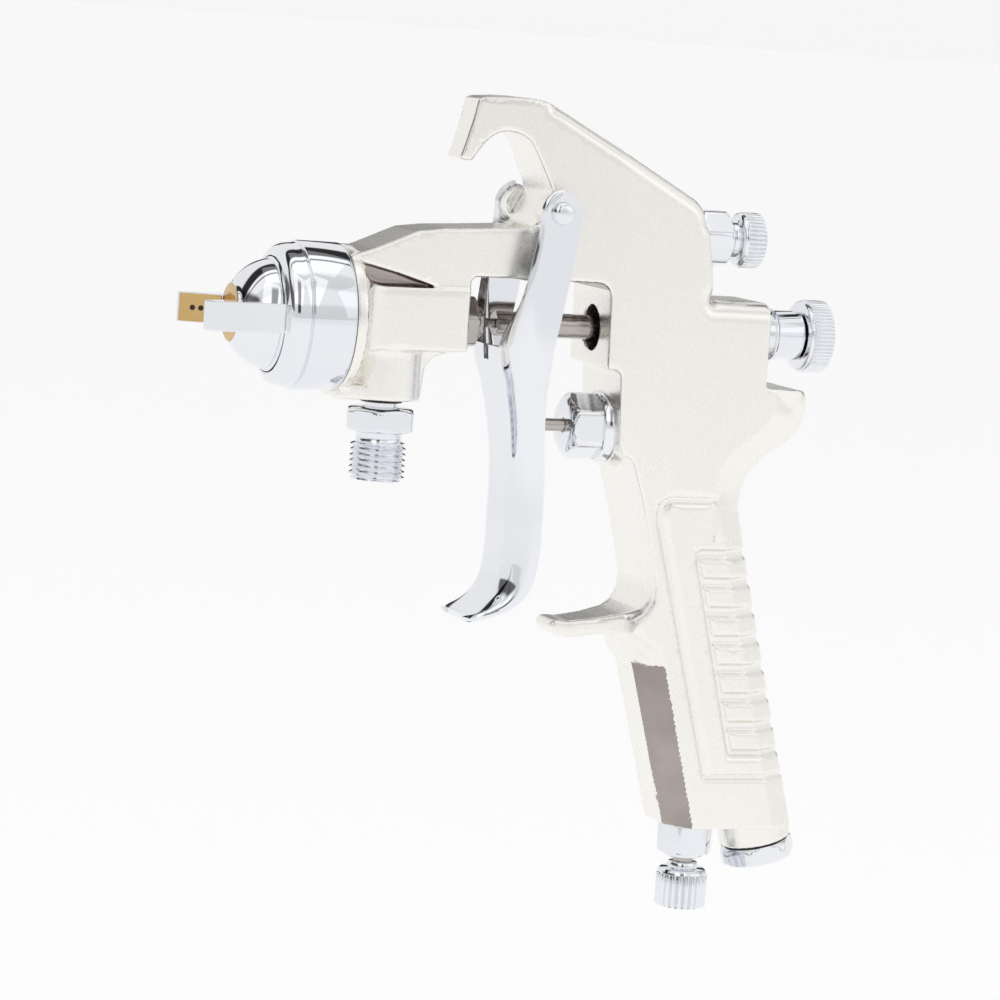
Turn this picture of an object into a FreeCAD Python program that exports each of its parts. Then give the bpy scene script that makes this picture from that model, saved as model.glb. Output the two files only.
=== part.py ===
"""Pressure-feed spray gun, built as an assembly of separate pieces.

The gun points along -X, +Y is its right-hand side and +Z is up.  The origin is the centre of
the fluid inlet's end face.  Every piece is modelled about the spray axis, the line that the
needle slides on, and is then raised by spray_height.
"""
import FreeCAD, Part
import math
import os
import re
from FreeCAD import Placement, Rotation, Vector

doc = FreeCAD.newDocument("spray_gun")

# ---------------------------------------------------------------- driving dimensions, mm
# Stations along the gun are distances behind the fluid inlet's axis.  Heights and depths are
# measured from the spray axis.
DIMENSIONS = {
    "spray_height": 37.5,
    "hair": 0.05,                 # radial clearance of a running fit
    # casting
    "body_half": 12.5, "barrel_radius": 9.6, "barrel_rear": 17.0, "bridge_half": 9.0,
    "nose_front": -24.0, "nose_radius": 14.5, "flange_front": -12.6, "flange_rear": -10.0,
    "flange_radius": 16.9, "rear_boss_radius": 8.2, "rear_boss_end": 92.0,
    "valve_boss_radius": 9.2, "valve_boss_face": 55.9, "pivot_boss_radius": 4.2,
    "pivot_boss_half": 14.3, "foot_bottom": 18.5, "handle_bottom": 118.5, "handle_rake": 14.85,
    "hook_tip_half": 4.7, "hook_root_half": 10.0, "finger_half": 5.5, "finger_root_half": 10.5,
    # nozzle, cap and ring
    "nozzle_bore": 5.0, "fluid_bore": 3.0, "nozzle_end": -12.0, "baffle_front": -26.0,
    "baffle_radius": 13.0, "nozzle_flange_front": -28.0, "nozzle_flange_radius": 8.0,
    "nozzle_hex": 11.0, "nozzle_hex_front": -31.0, "tip_front": -38.2, "tip_radius": 1.6,
    "nozzle_cone": 3.8,
    "cap_front": -37.8, "cap_face_radius": 6.3, "cap_waist": -34.0,
    "cap_waist_radius": 10.4, "cap_lip": -28.8, "cap_lip_radius": 13.2, "cap_rear": -26.2,
    "cap_rim_front": -27.5, "cap_rim_radius": 14.2, "horn_tip": -47.3, "horn_half": 13.2,
    "horn_inner": 7.0, "horn_height": 6.8, "ring_front": -28.6, "ring_lip_rear": -27.7,
    "ring_lip_bore": 13.5, "ring_shoulder": -23.6, "ring_radius": 17.2,
    "ring_edge_radius": 14.8, "ring_mid": -26.6, "ring_mid_radius": 16.4,
    # fluid inlet nipple
    "nipple_top": 9.0, "nipple_shank": 4.0, "nipple_bore": 2.8, "nipple_hex": 15.4,
    "nipple_hex_top": 20.6, "nipple_hex_low": 26.2, "nipple_neck": 5.4, "nipple_neck_low": 28.8,
    "inlet_thread": 6.58, "washer_thick": 0.8, "nipple_washer": 4.8,
    # needle, packing and the needle's rear guide
    "needle_radius": 1.1, "needle_point": 0.35, "needle_taper": 3.6, "needle_tip": -38.6,
    "needle_tail": 100.0, "pusher_radius": 2.9, "pusher_front": 26.5, "pusher_end": 70.0,
    "pusher_flange": 72.0, "pusher_flange_radius": 4.6,
    "packing_front": 6.0, "packing_rear": 9.5, "packing_radius": 3.5, "gland_hex": 11.4,
    "gland_hex_rear": 21.2, "gland_end": 23.0, "chamber_radius": 5.4, "guide_front": 84.0,
    "guide_radius": 5.9, "guide_bore": 4.3, "guide_rear": 104.2, "screw_front": 98.0,
    "screw_rear": 109.0, "spigot_radius": 2.95, "fluid_knob_front": 104.6,
    "fluid_knob_rear": 110.9, "fluid_knob_radius": 8.7, "spring_radius": 3.5,
    "spring_wire": 0.9,
    # trigger and pivot
    "pivot_x": 35.4, "pivot_z": 27.2, "arm_outer": 16.5, "sheet": 2.0, "arm_head": 4.6,
    "blade_half": 12.2, "pin_radius": 1.75, "pin_head": 2.7, "pin_head_thick": 1.7,
    "slot_half": 1.7, "slot_bottom": -9.0,
    # air valve
    "valve_z": -23.4, "stem_radius": 1.5, "stem_front": 31.1,
    "valve_hex": 14.0, "valve_hex_front": 45.6, "valve_flange_front": 53.4,
    "valve_flange_radius": 8.8, "valve_thread": 6.5, "valve_seat": 66.0, "poppet_front": 66.3,
    "poppet_rear": 69.0, "poppet_radius": 4.6, "valve_chamber": 5.4, "valve_chamber_end": 89.0,
    "valve_spring_radius": 3.5, "valve_spring_wire": 0.9,
    # spray pattern valve
    "pattern_z": 22.3, "pattern_thread": 5.0, "pattern_seat": 7.4, "pattern_hex": 12.4,
    "pattern_hex_front": 76.2, "pattern_hex_rear": 83.6, "pattern_front": 62.0, "pattern_spindle": 2.4,
    "pattern_tip": 56.0, "pattern_knob_front": 86.2, "pattern_knob_rear": 92.2,
    "pattern_knob_radius": 6.6, "ring_wire": 0.8, "spindle_point": 0.6,
    # air regulator under the handle, depths below the spray axis
    "regulator_x": 85.1, "regulator_thread": 4.5, "regulator_hex": 12.2, "regulator_top": 106.0,
    "regulator_hex_low": 126.4, "regulator_spindle": 2.4, "regulator_tip": 101.0,
    "regulator_knob_top": 130.0, "regulator_knob_low": 139.4, "regulator_knob_radius": 6.2,
    # air inlet, along the handle's rake from a point on its axis
    "inlet_x": 104.5, "inlet_z": -125.8, "inlet_boss": 8.7, "inlet_thread_radius": 7.2,
    "inlet_bore": 5.72, "inlet_hex": 16.4, "inlet_collar_top": -3.0, "inlet_collar_low": 2.2,
    "inlet_top": -16.0, "inlet_washer": 7.9, "air_bore": 3.2, "air_bore_length": 85.0,
}

sheet = doc.addObject("Spreadsheet::Sheet", "dims")
for row, (alias, size) in enumerate(DIMENSIONS.items(), start=1):
    sheet.set(f"A{row}", alias)
    sheet.set(f"B{row}", str(size))
    sheet.setAlias(f"B{row}", alias)
doc.recompute()


def dim(alias):
    """The value of one cell of the sheet."""
    return float(sheet.get(alias))


def bind(obj, prop, text):
    """Binds a property to a formula in which bare words are cells of the sheet."""
    obj.setExpression(prop, re.sub(r"[a-z][a-z_0-9]+", lambda found: "dims." + found.group(), text))


# ---------------------------------------------------------------- building blocks
def section(name, kind, sizes, start, end):
    """One solid about the local Z axis, from start to end: round, taper or hex."""
    if kind == "round":
        solid = doc.addObject("Part::Cylinder", name)
        bind(solid, "Radius", sizes[0])
    elif kind == "taper":
        solid = doc.addObject("Part::Cone", name)
        bind(solid, "Radius1", sizes[0])
        bind(solid, "Radius2", sizes[1])
    else:
        solid = doc.addObject("Part::Prism", name)
        solid.Polygon = 6
        bind(solid, "Circumradius", f"({sizes[0]}) / 1.7320508")
    bind(solid, "Height", f"({end}) - ({start})")
    bind(solid, "Placement.Base.z", start)
    return solid


def sections(name, rows):
    """The union of a list of rows, each (kind, size, ..., start, end)."""
    solids = [section(f"{name}_{i}", row[0], row[1:-2], row[-2], row[-1])
              for i, row in enumerate(rows)]
    return union(name, solids)


def union(name, solids):
    """Joins solids; one alone is only wrapped, so that it can be placed as a whole."""
    if len(solids) == 1:
        joined = doc.addObject("Part::Refine", name)
        joined.Source = solids[0]
        return joined
    joined = doc.addObject("Part::MultiFuse", name)
    joined.Shapes = solids
    return joined


def cut(name, base, tool):
    result = doc.addObject("Part::Cut", name)
    result.Base = base
    result.Tool = tool
    return result


def common(name, one, other):
    result = doc.addObject("Part::Common", name)
    result.Base = one
    result.Tool = other
    return result


def turned(name, solids, bores=()):
    """A piece turned about one axis: a stack of sections less a stack of bores."""
    body = sections(name + "_stock", solids)
    if bores:
        body = cut(name, body, sections(name + "_bore", bores))
    return body


ALONG_X = Rotation(Vector(0, 1, 0), 90)
DOWN = Rotation(Vector(1, 0, 0), 180)
ACROSS = Rotation(Vector(1, 0, 0), 90)         # local Z points at the gun's left side


def put(obj, rotation, x="0", z="0", y="0"):
    """Gives a piece its Placement: rotation, then a point measured from the spray axis."""
    obj.Placement = Placement(Vector(0, 0, 0), rotation)
    bind(obj, "Placement.Base.x", x)
    bind(obj, "Placement.Base.y", y)
    bind(obj, "Placement.Base.z", f"spray_height + ({z})")
    return obj


def raked():
    """Turns local Z to run down the handle."""
    return Rotation(Vector(0, 1, 0), 180 - dim("handle_rake"))


def sketch(name, path, placement):
    """A closed outline.  path starts with a point; each later item is a point, reached by a
    straight line, or a pair of points, reached by an arc through the first."""
    drawing = doc.addObject("Sketcher::SketchObject", name)
    drawing.Placement = placement
    here = first = Vector(*path[0], 0)
    for item in path[1:] + [path[0]]:
        if isinstance(item[0], tuple):
            through, there = Vector(*item[0], 0), Vector(*item[1], 0)
            drawing.addGeometry(Part.Arc(here, through, there))
        else:
            there = Vector(*item, 0)
            if (there - here).Length > 1e-6:
                drawing.addGeometry(Part.LineSegment(here, there))
        here = there
    assert (here - first).Length < 1e-6
    return drawing


SIDE_VIEW = Placement(Vector(0, 0, 0), Rotation(Vector(1, 0, 0), 90))
TOP_VIEW = Placement()
FRONT_VIEW = Placement(Vector(0, 0, 0), Rotation(Vector(1, 1, 1), 120))


def slab(name, path, placement, depth, symmetric=True, direction=None):
    """An outline pushed through a depth, a formula, along its normal."""
    solid = doc.addObject("Part::Extrusion", name)
    solid.Base = sketch(name + "_outline", path, placement)
    solid.DirMode = "Custom"
    solid.Dir = direction or placement.Rotation.multVec(Vector(0, 0, 1))
    solid.Solid = True
    solid.Symmetric = symmetric
    bind(solid, "LengthFwd", depth)
    return solid


def mirrored_path(path):
    """Closes a half outline, given as (along, across) points, by its mirror image."""
    return path + [(along, -across) for along, across in reversed(path)]


pieces = {}


def keep(node, obj):
    obj.Label = node
    pieces[node] = obj
    return obj


def on_pivot(name, radius, half):
    """A round bar across the gun on the trigger's pivot line, in spray-axis coordinates."""
    bar = sections(name, [("round", radius, f"-({half})", half)])
    bar.Placement = Placement(Vector(dim("pivot_x"), 0, dim("pivot_z")), ACROSS)
    return bar


# ---------------------------------------------------------------- the casting
def upper_frame():
    """Hanging hook, sloping back and the wall round the trigger window."""
    path = [(12.4, 38.2), (15.6, 37.5), ((19.3, 43.4), (25.5, 45.2)),
            ((30.2, 42.6), (32.8, 36.6)), (35.0, 31.0), (31.0, 23.0), (30.0, 11.2),
            (47.6, 11.2), ((50.2, 10.2), (51.2, 7.8)), (51.6, -9.5), (54.6, -11.5),
            (55.6, -26.0), (59.0, -30.0), (90.0, -30.0), (92.0, -11.8), (92.0, 8.2),
            (77.4, 8.3), (76.4, 16.8), (75.2, 23.0), ((74.0, 28.4), (70.5, 32.1)),
            (59.0, 38.3), (38.0, 49.7), ((34.8, 51.7), (31.0, 52.9)), (20.0, 53.0),
            ((16.0, 51.2), (14.0, 47.0))]
    body = slab("frame_slab", path, SIDE_VIEW, "2 * body_half")
    tip, root, half = dim("hook_tip_half"), dim("hook_root_half"), dim("body_half")
    plan = mirrored_path([(10.0, tip), (16.0, tip), (36.0, root), (52.0, half), (95.0, half)])
    return common("upper_frame", body, slab("hook_plan", plan, TOP_VIEW, "6 * spray_height"))


def tail():
    """The heel that rests on the web of the hand, behind the needle boss."""
    path = [(78.0, -7.0), (92.0, -11.8), (103.0, -12.3), ((106.4, -17.2), (104.6, -22.8)),
            (101.4, -25.8), (96.4, -28.8), ((92.4, -33.4), (90.6, -41.4)), (80.0, -44.0)]
    body = slab("tail_slab", path, SIDE_VIEW, "2 * body_half")
    half = dim("body_half")
    plan = mirrored_path([(76.0, half), (92.0, half), (102.5, 7.5), (106.4, 3.0)])
    return common("tail", body, slab("tail_plan", plan, TOP_VIEW, "6 * spray_height"))


def handle():
    """The raked grip: a rounded section run along the rake, trimmed to the side outline."""
    bottom = -dim("handle_bottom")
    path = [(58.0, -26.0), (62.4, -40.0), (66.0, -53.4), ((67.8, -60.0), (65.8, -66.4)),
            (62.6, -69.0), (63.6, -74.0), (75.4, bottom), (113.0, bottom),
            (98.0, -65.0), (93.0, -50.0), (90.6, -41.4), (88.0, -24.0)]
    body = slab("handle_slab", path, SIDE_VIEW, "2 * body_half")
    half = dim("body_half")
    rake = math.radians(dim("handle_rake"))
    # Distances across the handle, square to the rake, from the spray axis.
    front, flat_start, flat_end, rear = 43.6, 48.4, 69.1, 76.6
    grip = mirrored_path([(front, 5.5), (flat_start, half), (flat_end, half),
                          (rear - 1.8, 8.6), (rear, 4.0)])
    along = Vector(math.sin(rake), 0, -math.cos(rake))
    across = Vector(math.cos(rake), 0, math.sin(rake))
    plane = Placement(Vector(0, 0, 0), Rotation(across, Vector(0, 1, 0), along))
    mask = slab("grip_section", grip, plane, "8 * spray_height")
    return common("handle", body, mask)


def finger_rest():
    """The hooked rest between the middle fingers, wider at its root."""
    path = [(66.5, -62.0), (62.0, -67.3), (55.0, -69.2), (49.5, -70.2), (45.4, -69.6),
            ((44.2, -71.3), (45.6, -73.0)), (49.5, -73.5), (57.0, -72.0),
            ((62.6, -73.2), (65.6, -78.5)), (74.0, -80.0), (74.0, -62.0)]
    body = slab("finger_slab", path, SIDE_VIEW, "2 * body_half")
    tip, root = dim("finger_half"), dim("finger_root_half")
    plan = mirrored_path([(41.0, tip - 1.0), (46.0, tip), (56.0, tip + 1.0), (66.0, root),
                          (76.0, root)])
    return common("finger_rest", body, slab("finger_plan", plan, TOP_VIEW, "6 * spray_height"))


def bridge():
    """The bar over the barrel, with a pocket cast into each side."""
    path = [(-12.0, 0.0), (-12.0, 14.0), (-6.6, 16.2), (3.5, 20.6), (34.0, 22.9), (34.0, 11.2),
            (16.8, 11.2), (16.8, 0.0)]
    bar = slab("bridge_slab", path, SIDE_VIEW, "2 * bridge_half")
    pocket_path = [(-7.6, 13.2), (-6.4, 10.6), (-2.0, 8.6), (7.6, 7.9)]
    pockets = []
    for side in (-1, 1):
        pocket = slab(f"pocket_{side + 1}", pocket_path, SIDE_VIEW, "8")
        pocket.Placement = Placement(Vector(0, side * (dim("bridge_half") + 0.5), 0), Rotation())
        pockets.append(pocket)
    return cut("bridge", bar, union("pockets", pockets))


def foot():
    """The tapered foot that carries the fluid inlet."""
    path = [(-12.6, -4.0), (-11.6, -16.6), (-10.4, -18.5), (8.6, -18.5), (9.4, -7.0),
            (16.8, -5.0), (16.8, 0.0), (-12.6, 0.0)]
    return slab("foot_slab", path, SIDE_VIEW, "2 * barrel_radius - 2")


def inner_spaces():
    """Every bore, chamber and thread hole in the casting."""
    spray_line = sections("spray_bores", [
        ("round", "nozzle_bore", "nose_front - 1", "nozzle_end"),
        ("round", "fluid_bore", "nozzle_end", "packing_front"),
        ("round", "packing_radius", "packing_front", "barrel_rear + 1"),
        ("round", "chamber_radius", "valve_hex_front", "guide_front"),
        ("round", "guide_radius", "guide_front", "rear_boss_end + 1")])
    spray_line.Placement = Placement(Vector(0, 0, 0), ALONG_X)
    valve_line = sections("valve_bores", [
        ("round", "valve_flange_radius + hair", "valve_flange_front - 1", "valve_boss_face"),
        ("round", "valve_thread", "valve_boss_face - 1", "valve_seat"),
        ("round", "valve_chamber", "valve_seat", "valve_chamber_end")])
    valve_line.Placement = Placement(Vector(0, 0, dim("valve_z")), ALONG_X)
    pattern_line = sections("pattern_bores", [
        ("round", "pattern_seat", "pattern_hex_front", "pattern_hex_front + 2"),
        ("round", "pattern_thread", "pattern_front", "pattern_hex_front + 2"),
        ("round", "pattern_spindle + 0.4", "pattern_tip - 2", "pattern_front")])
    pattern_line.Placement = Placement(Vector(0, 0, dim("pattern_z")), ALONG_X)
    inlet_line = sections("fluid_inlet_bores", [
        ("round", "nipple_bore", "0", "nipple_top"),
        ("round", "nipple_shank", "nipple_top", "foot_bottom + 1")])
    inlet_line.Placement = Placement(Vector(0, 0, 0), DOWN)
    regulator_line = sections("regulator_bores", [
        ("round", "regulator_spindle + 0.4", "regulator_tip - 2", "regulator_top"),
        ("round", "regulator_thread", "regulator_top", "handle_bottom + 1")])
    regulator_line.Placement = Placement(Vector(dim("regulator_x"), 0, 0), DOWN)
    air_line = sections("air_bores", [
        ("round", "air_bore", "inlet_top - air_bore_length", "inlet_top"),
        ("round", "inlet_thread_radius", "inlet_top", "inlet_collar_top + 1")])
    air_line.Placement = Placement(Vector(dim("inlet_x"), 0, dim("inlet_z")), raked())
    pivot_hole = on_pivot("pivot_hole", "pin_radius", "pivot_boss_half + 1")
    return union("inner_spaces", [spray_line, valve_line, pattern_line, inlet_line,
                                  regulator_line, air_line, pivot_hole])


def gun_body():
    barrel = sections("barrel", [
        ("round", "nose_radius", "nose_front", "flange_front"),
        ("round", "flange_radius", "flange_front", "flange_rear"),
        ("taper", "flange_radius - 1.2", "barrel_radius", "flange_rear", "flange_rear + 8"),
        ("round", "barrel_radius", "flange_rear", "barrel_rear")])
    barrel.Placement = Placement(Vector(0, 0, 0), ALONG_X)
    rear_boss = sections("rear_boss", [("round", "rear_boss_radius", "guide_front - 12",
                                        "rear_boss_end")])
    rear_boss.Placement = Placement(Vector(0, 0, 0), ALONG_X)
    valve_boss = sections("valve_boss", [("round", "valve_boss_radius", "valve_boss_face",
                                          "valve_seat")])
    valve_boss.Placement = Placement(Vector(0, 0, dim("valve_z")), ALONG_X)
    air_boss = sections("air_boss", [("round", "inlet_boss", "inlet_top + 4",
                                      "inlet_collar_top")])
    air_boss.Placement = Placement(Vector(dim("inlet_x"), 0, dim("inlet_z")), raked())
    pivot_boss = on_pivot("pivot_boss", "pivot_boss_radius", "pivot_boss_half")
    solid = union("casting_solid", [barrel, rear_boss, valve_boss, air_boss, pivot_boss,
                                    upper_frame(), tail(), handle(), finger_rest(), bridge(),
                                    foot()])
    return put(cut("gun_body", solid, inner_spaces()), Rotation())


# ---------------------------------------------------------------- nozzle, cap and ring
def fluid_nozzle():
    piece = turned("fluid_nozzle", [
        ("taper", "tip_radius", "tip_radius", "tip_front", "cap_front + 1.6"),
        ("taper", "tip_radius", "nozzle_cone", "cap_front + 1.6", "nozzle_hex_front"),
        ("hex", "nozzle_hex", "nozzle_hex_front", "nozzle_flange_front"),
        ("round", "nozzle_flange_radius", "nozzle_flange_front", "baffle_front"),
        ("round", "nozzle_bore", "baffle_front", "nozzle_end")], [
        ("round", "needle_radius + 0.3", "tip_front - 1", "cap_front + 3"),
        ("round", "fluid_bore", "cap_front + 5", "nozzle_end + 1"),
        ("taper", "needle_radius + 0.3", "fluid_bore", "cap_front + 3", "cap_front + 5")])
    return put(piece, ALONG_X)


def air_distributor():
    piece = turned("air_distributor", [("round", "baffle_radius", "baffle_front", "nose_front")],
                   [("round", "nozzle_bore", "baffle_front - 1", "nose_front + 1")])
    return put(piece, ALONG_X)


def air_cap():
    """Hollow dome with a flat face, two horns and a rim that the ring clamps."""
    dome = sections("cap_dome", [
        ("taper", "cap_face_radius", "cap_waist_radius", "cap_front", "cap_waist"),
        ("taper", "cap_waist_radius", "cap_lip_radius", "cap_waist", "cap_lip"),
        ("round", "cap_lip_radius", "cap_lip", "cap_rim_front"),
        ("round", "cap_rim_radius", "cap_rim_front", "cap_rear")])
    dome.Placement = Placement(Vector(0, 0, 0), ALONG_X)
    tip, half, inner = dim("horn_tip"), dim("horn_half"), dim("horn_inner")
    horn_path = [(dim("cap_lip"), half), (tip + 1.6, half), (tip, half - 1.8),
                 (tip, half - 2.8), (dim("cap_front"), inner - 0.8), (dim("cap_waist"), inner - 1)]
    horns = []
    for side in (-1, 1):
        path = [(x, side * y) for x, y in horn_path]
        horns.append(slab(f"horn_{side + 1}", path, TOP_VIEW, "horn_height"))
    hollow = sections("cap_hollow", [
        ("round", "tip_radius + 0.5", "tip_front - 1", "cap_front + 2"),
        ("taper", "cap_face_radius - 1.5", "cap_lip_radius - 2", "cap_front + 1.6", "cap_lip"),
        ("round", "cap_lip_radius - 2", "cap_lip", "cap_rear + 1")])
    hollow.Placement = Placement(Vector(0, 0, 0), ALONG_X)
    return put(cut("air_cap", union("cap_solid", [dome] + horns), hollow), Rotation())


def air_cap_ring():
    piece = turned("air_cap_ring", [
        ("taper", "ring_edge_radius", "ring_mid_radius", "ring_front", "ring_mid"),
        ("taper", "ring_mid_radius", "ring_radius", "ring_mid", "ring_shoulder"),
        ("round", "ring_radius", "ring_shoulder", "flange_front - 0.1")], [
        ("round", "ring_lip_bore", "ring_front - 1", "ring_lip_rear"),
        ("round", "nose_radius + hair", "ring_lip_rear", "flange_front + 1")])
    return put(piece, ALONG_X)


# ---------------------------------------------------------------- fluid inlet
def fluid_inlet_nipple():
    piece = turned("fluid_inlet_nipple", [
        ("round", "nipple_shank", "nipple_top", "nipple_hex_top"),
        ("hex", "nipple_hex", "nipple_hex_top", "nipple_hex_low"),
        ("round", "nipple_neck", "nipple_hex_low", "nipple_neck_low"),
        ("round", "inlet_thread", "nipple_neck_low", "spray_height")],
        [("round", "nipple_bore", "nipple_top - 1", "spray_height + 1")])
    return put(piece, DOWN)


def nipple_washer():
    piece = turned("nipple_washer",
                   [("round", "nipple_washer", "foot_bottom", "foot_bottom + washer_thick")],
                   [("round", "nipple_shank", "foot_bottom - 1", "foot_bottom + 2")])
    return put(piece, DOWN)


# ---------------------------------------------------------------- needle and its guide
def fluid_needle():
    piece = turned("fluid_needle", [
        ("taper", "needle_point", "needle_radius", "needle_tip", "needle_tip + needle_taper"),
        ("round", "needle_radius", "needle_tip + needle_taper", "needle_tail")])
    return put(piece, ALONG_X)


def needle_pusher():
    """The sleeve pinned to the needle that the trigger pushes on."""
    piece = turned("needle_pusher", [
        ("round", "pusher_radius", "pusher_front", "pusher_end"),
        ("round", "pusher_flange_radius", "pusher_end", "pusher_flange")],
        [("round", "needle_radius", "pusher_front - 1", "pusher_flange + 1")])
    return put(piece, ALONG_X)


def needle_packing():
    piece = turned("needle_packing",
                   [("round", "packing_radius", "packing_front", "packing_rear")],
                   [("round", "needle_radius + hair", "packing_front - 1", "packing_rear + 1")])
    return put(piece, ALONG_X)


def packing_nut():
    piece = turned("packing_nut", [
        ("round", "packing_radius", "packing_rear", "barrel_rear"),
        ("hex", "gland_hex", "barrel_rear", "gland_hex_rear"),
        ("round", "packing_radius", "gland_hex_rear", "gland_end")],
        [("round", "needle_radius + hair", "packing_rear - 1", "gland_end + 1")])
    return put(piece, ALONG_X)


def coil(node, radius, wire, start, end, turns):
    """A compression spring: a round wire swept along a helix."""
    rise = dim(end) - dim(start) - dim(wire)
    path = Part.makeHelix(rise / turns, rise, dim(radius))
    ring = Part.makeCircle(dim(wire) / 2, Vector(dim(radius), 0, 0), Vector(0, 1, 0))
    solid = Part.Wire(path).makePipeShell([Part.Wire(ring)], True, True)
    spring = doc.addObject("Part::Feature", node)
    spring.Shape = solid
    return spring


def needle_spring():
    spring = coil("needle_spring", "spring_radius", "spring_wire", "pusher_flange",
                  "screw_front", 8)
    return put(spring, ALONG_X, x="pusher_flange + spring_wire / 2")


def needle_guide():
    """The threaded sleeve in the rear boss, which the adjusting screw runs in."""
    piece = turned("needle_guide", [
        ("round", "guide_radius", "guide_front", "guide_rear")],
        [("round", "guide_bore", "guide_front - 1", "guide_rear + 1")])
    return put(piece, ALONG_X)


def fluid_screw():
    piece = turned("fluid_screw", [
        ("round", "guide_bore - hair", "screw_front", "fluid_knob_front"),
        ("round", "spigot_radius", "fluid_knob_front", "screw_rear")],
        [("round", "needle_radius + 0.4", "screw_front - 1", "screw_rear - 1.5")])
    return put(piece, ALONG_X)


def fluid_knob():
    piece = turned("fluid_knob", [
        ("taper", "fluid_knob_radius - 0.7", "fluid_knob_radius", "fluid_knob_front",
         "fluid_knob_front + 0.7"),
        ("round", "fluid_knob_radius", "fluid_knob_front + 0.7", "fluid_knob_rear - 0.7"),
        ("taper", "fluid_knob_radius", "fluid_knob_radius - 0.7", "fluid_knob_rear - 0.7",
         "fluid_knob_rear")],
        [("round", "spigot_radius + hair", "fluid_knob_front - 1", "screw_rear + 0.2")])
    return put(piece, ALONG_X)


# ---------------------------------------------------------------- trigger
BLADE_FRONT = [(24.4, 4.0), (24.2, -4.0), (25.4, -10.0), (27.6, -19.0), (29.6, -28.0),
               (30.4, -38.0), (30.2, -52.0), (30.4, -58.0), (28.6, -63.4), (25.6, -66.8),
               (21.4, -68.4)]


BLADE_BACK = [(38.6, 11.8), (36.4, -4.0), (36.4, -20.0), (37.4, -34.0), (37.4, -54.0),
              (35.8, -60.6), (32.2, -65.2), (27.4, -68.2), (21.8, -69.8)]


def both_sides(path):
    """Closes a half outline, given as (across, height) points, by its mirror image."""
    return path + [(-across, height) for across, height in reversed(path)]


def trigger():
    """A channel: two arms on the pivot, joined by a bowed blade that ends in a curled tip."""
    thick, arm, blade = dim("sheet"), dim("arm_outer"), dim("blade_half")
    pivot_x, pivot_z, head = dim("pivot_x"), dim("pivot_z"), dim("arm_head")
    side = ([(pivot_x - head, pivot_z), ((pivot_x, pivot_z + head), (pivot_x + head, pivot_z))]
            + BLADE_BACK + BLADE_FRONT[::-1] + [(27.8, 9.0), (29.6, 20.0)])
    front = both_sides([(arm, 34.0), (arm, -8.0), (blade + 1.2, -20.0), (blade, -30.0),
                        (blade, -56.0), (blade - 1.4, -66.0), (blade - 3.4, -71.0)])
    shell = common("trigger_shell", slab("trigger_slab", side, SIDE_VIEW, "2 * arm_outer"),
                   slab("trigger_front", front, FRONT_VIEW, "6 * spray_height"))
    # The hollow is the same channel, one sheet thickness in from the blade and the arms.
    hollow = ([(20.0, 40.0), (60.0, 40.0), (60.0, -75.0), (34.6, -66.4), (29.6, -65.6),
               (32.4, -58.6)] + [(x + thick, z) for x, z in BLADE_FRONT[6::-1]] + [(20.0, 4.0)])
    narrow = both_sides([(arm - thick, 42.0), (arm - thick, -7.0), (blade + 1.2 - thick, -19.0),
                         (blade - thick, -29.0), (blade - thick, -56.0),
                         (blade - 3.0 - thick, -68.0)])
    cavity = common("trigger_hollow",
                    slab("trigger_hollow_side", hollow, SIDE_VIEW, "2 * arm_outer"),
                    slab("trigger_hollow_front", narrow, FRONT_VIEW, "6 * spray_height"))
    low = dim("slot_bottom")
    slot = slab("needle_slot", [(20.0, low), (34.0, low), (34.0, 12.0), (20.0, 12.0)],
                SIDE_VIEW, "2 * slot_half")
    holes = on_pivot("arm_holes", "pin_radius + hair", "arm_outer + 1")
    return put(cut("trigger", shell, union("trigger_cuts", [cavity, slot, holes])), Rotation())


def pivot_pin():
    piece = turned("pivot_pin", [
        ("round", "pin_radius", "-arm_outer - 0.3", "arm_outer + 0.3"),
        ("taper", "pin_head", "pin_head - 1.1", "arm_outer + 0.3",
         "arm_outer + 0.3 + pin_head_thick")])
    return put(piece, ACROSS, x="pivot_x", z="pivot_z")


def pivot_screw():
    """The head that closes the pin's far end."""
    piece = turned("pivot_screw", [
        ("taper", "pin_head", "pin_head - 0.8", "arm_outer + 0.3",
         "arm_outer + 0.3 + pin_head_thick")])
    return put(piece, Rotation(Vector(1, 0, 0), -90), x="pivot_x", z="pivot_z")


# ---------------------------------------------------------------- air valve
def air_valve_body():
    piece = turned("air_valve_body", [
        ("hex", "valve_hex", "valve_hex_front", "valve_flange_front"),
        ("round", "valve_flange_radius", "valve_flange_front", "valve_boss_face"),
        ("round", "valve_thread", "valve_boss_face", "valve_seat")],
        [("round", "stem_radius + hair", "valve_hex_front - 1", "valve_seat + 1")])
    return put(piece, ALONG_X, z="valve_z")


def air_valve_stem():
    piece = turned("air_valve_stem", [("round", "stem_radius", "stem_front", "poppet_rear")])
    return put(piece, ALONG_X, z="valve_z")


def air_valve_poppet():
    piece = turned("air_valve_poppet",
                   [("round", "poppet_radius", "poppet_front", "poppet_rear")],
                   [("round", "stem_radius", "poppet_front - 1", "poppet_rear + 1")])
    return put(piece, ALONG_X, z="valve_z")


def air_valve_spring():
    spring = coil("air_valve_spring", "valve_spring_radius", "valve_spring_wire",
                  "poppet_rear", "valve_chamber_end", 6)
    return put(spring, ALONG_X, x="poppet_rear + valve_spring_wire / 2", z="valve_z")


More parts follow.
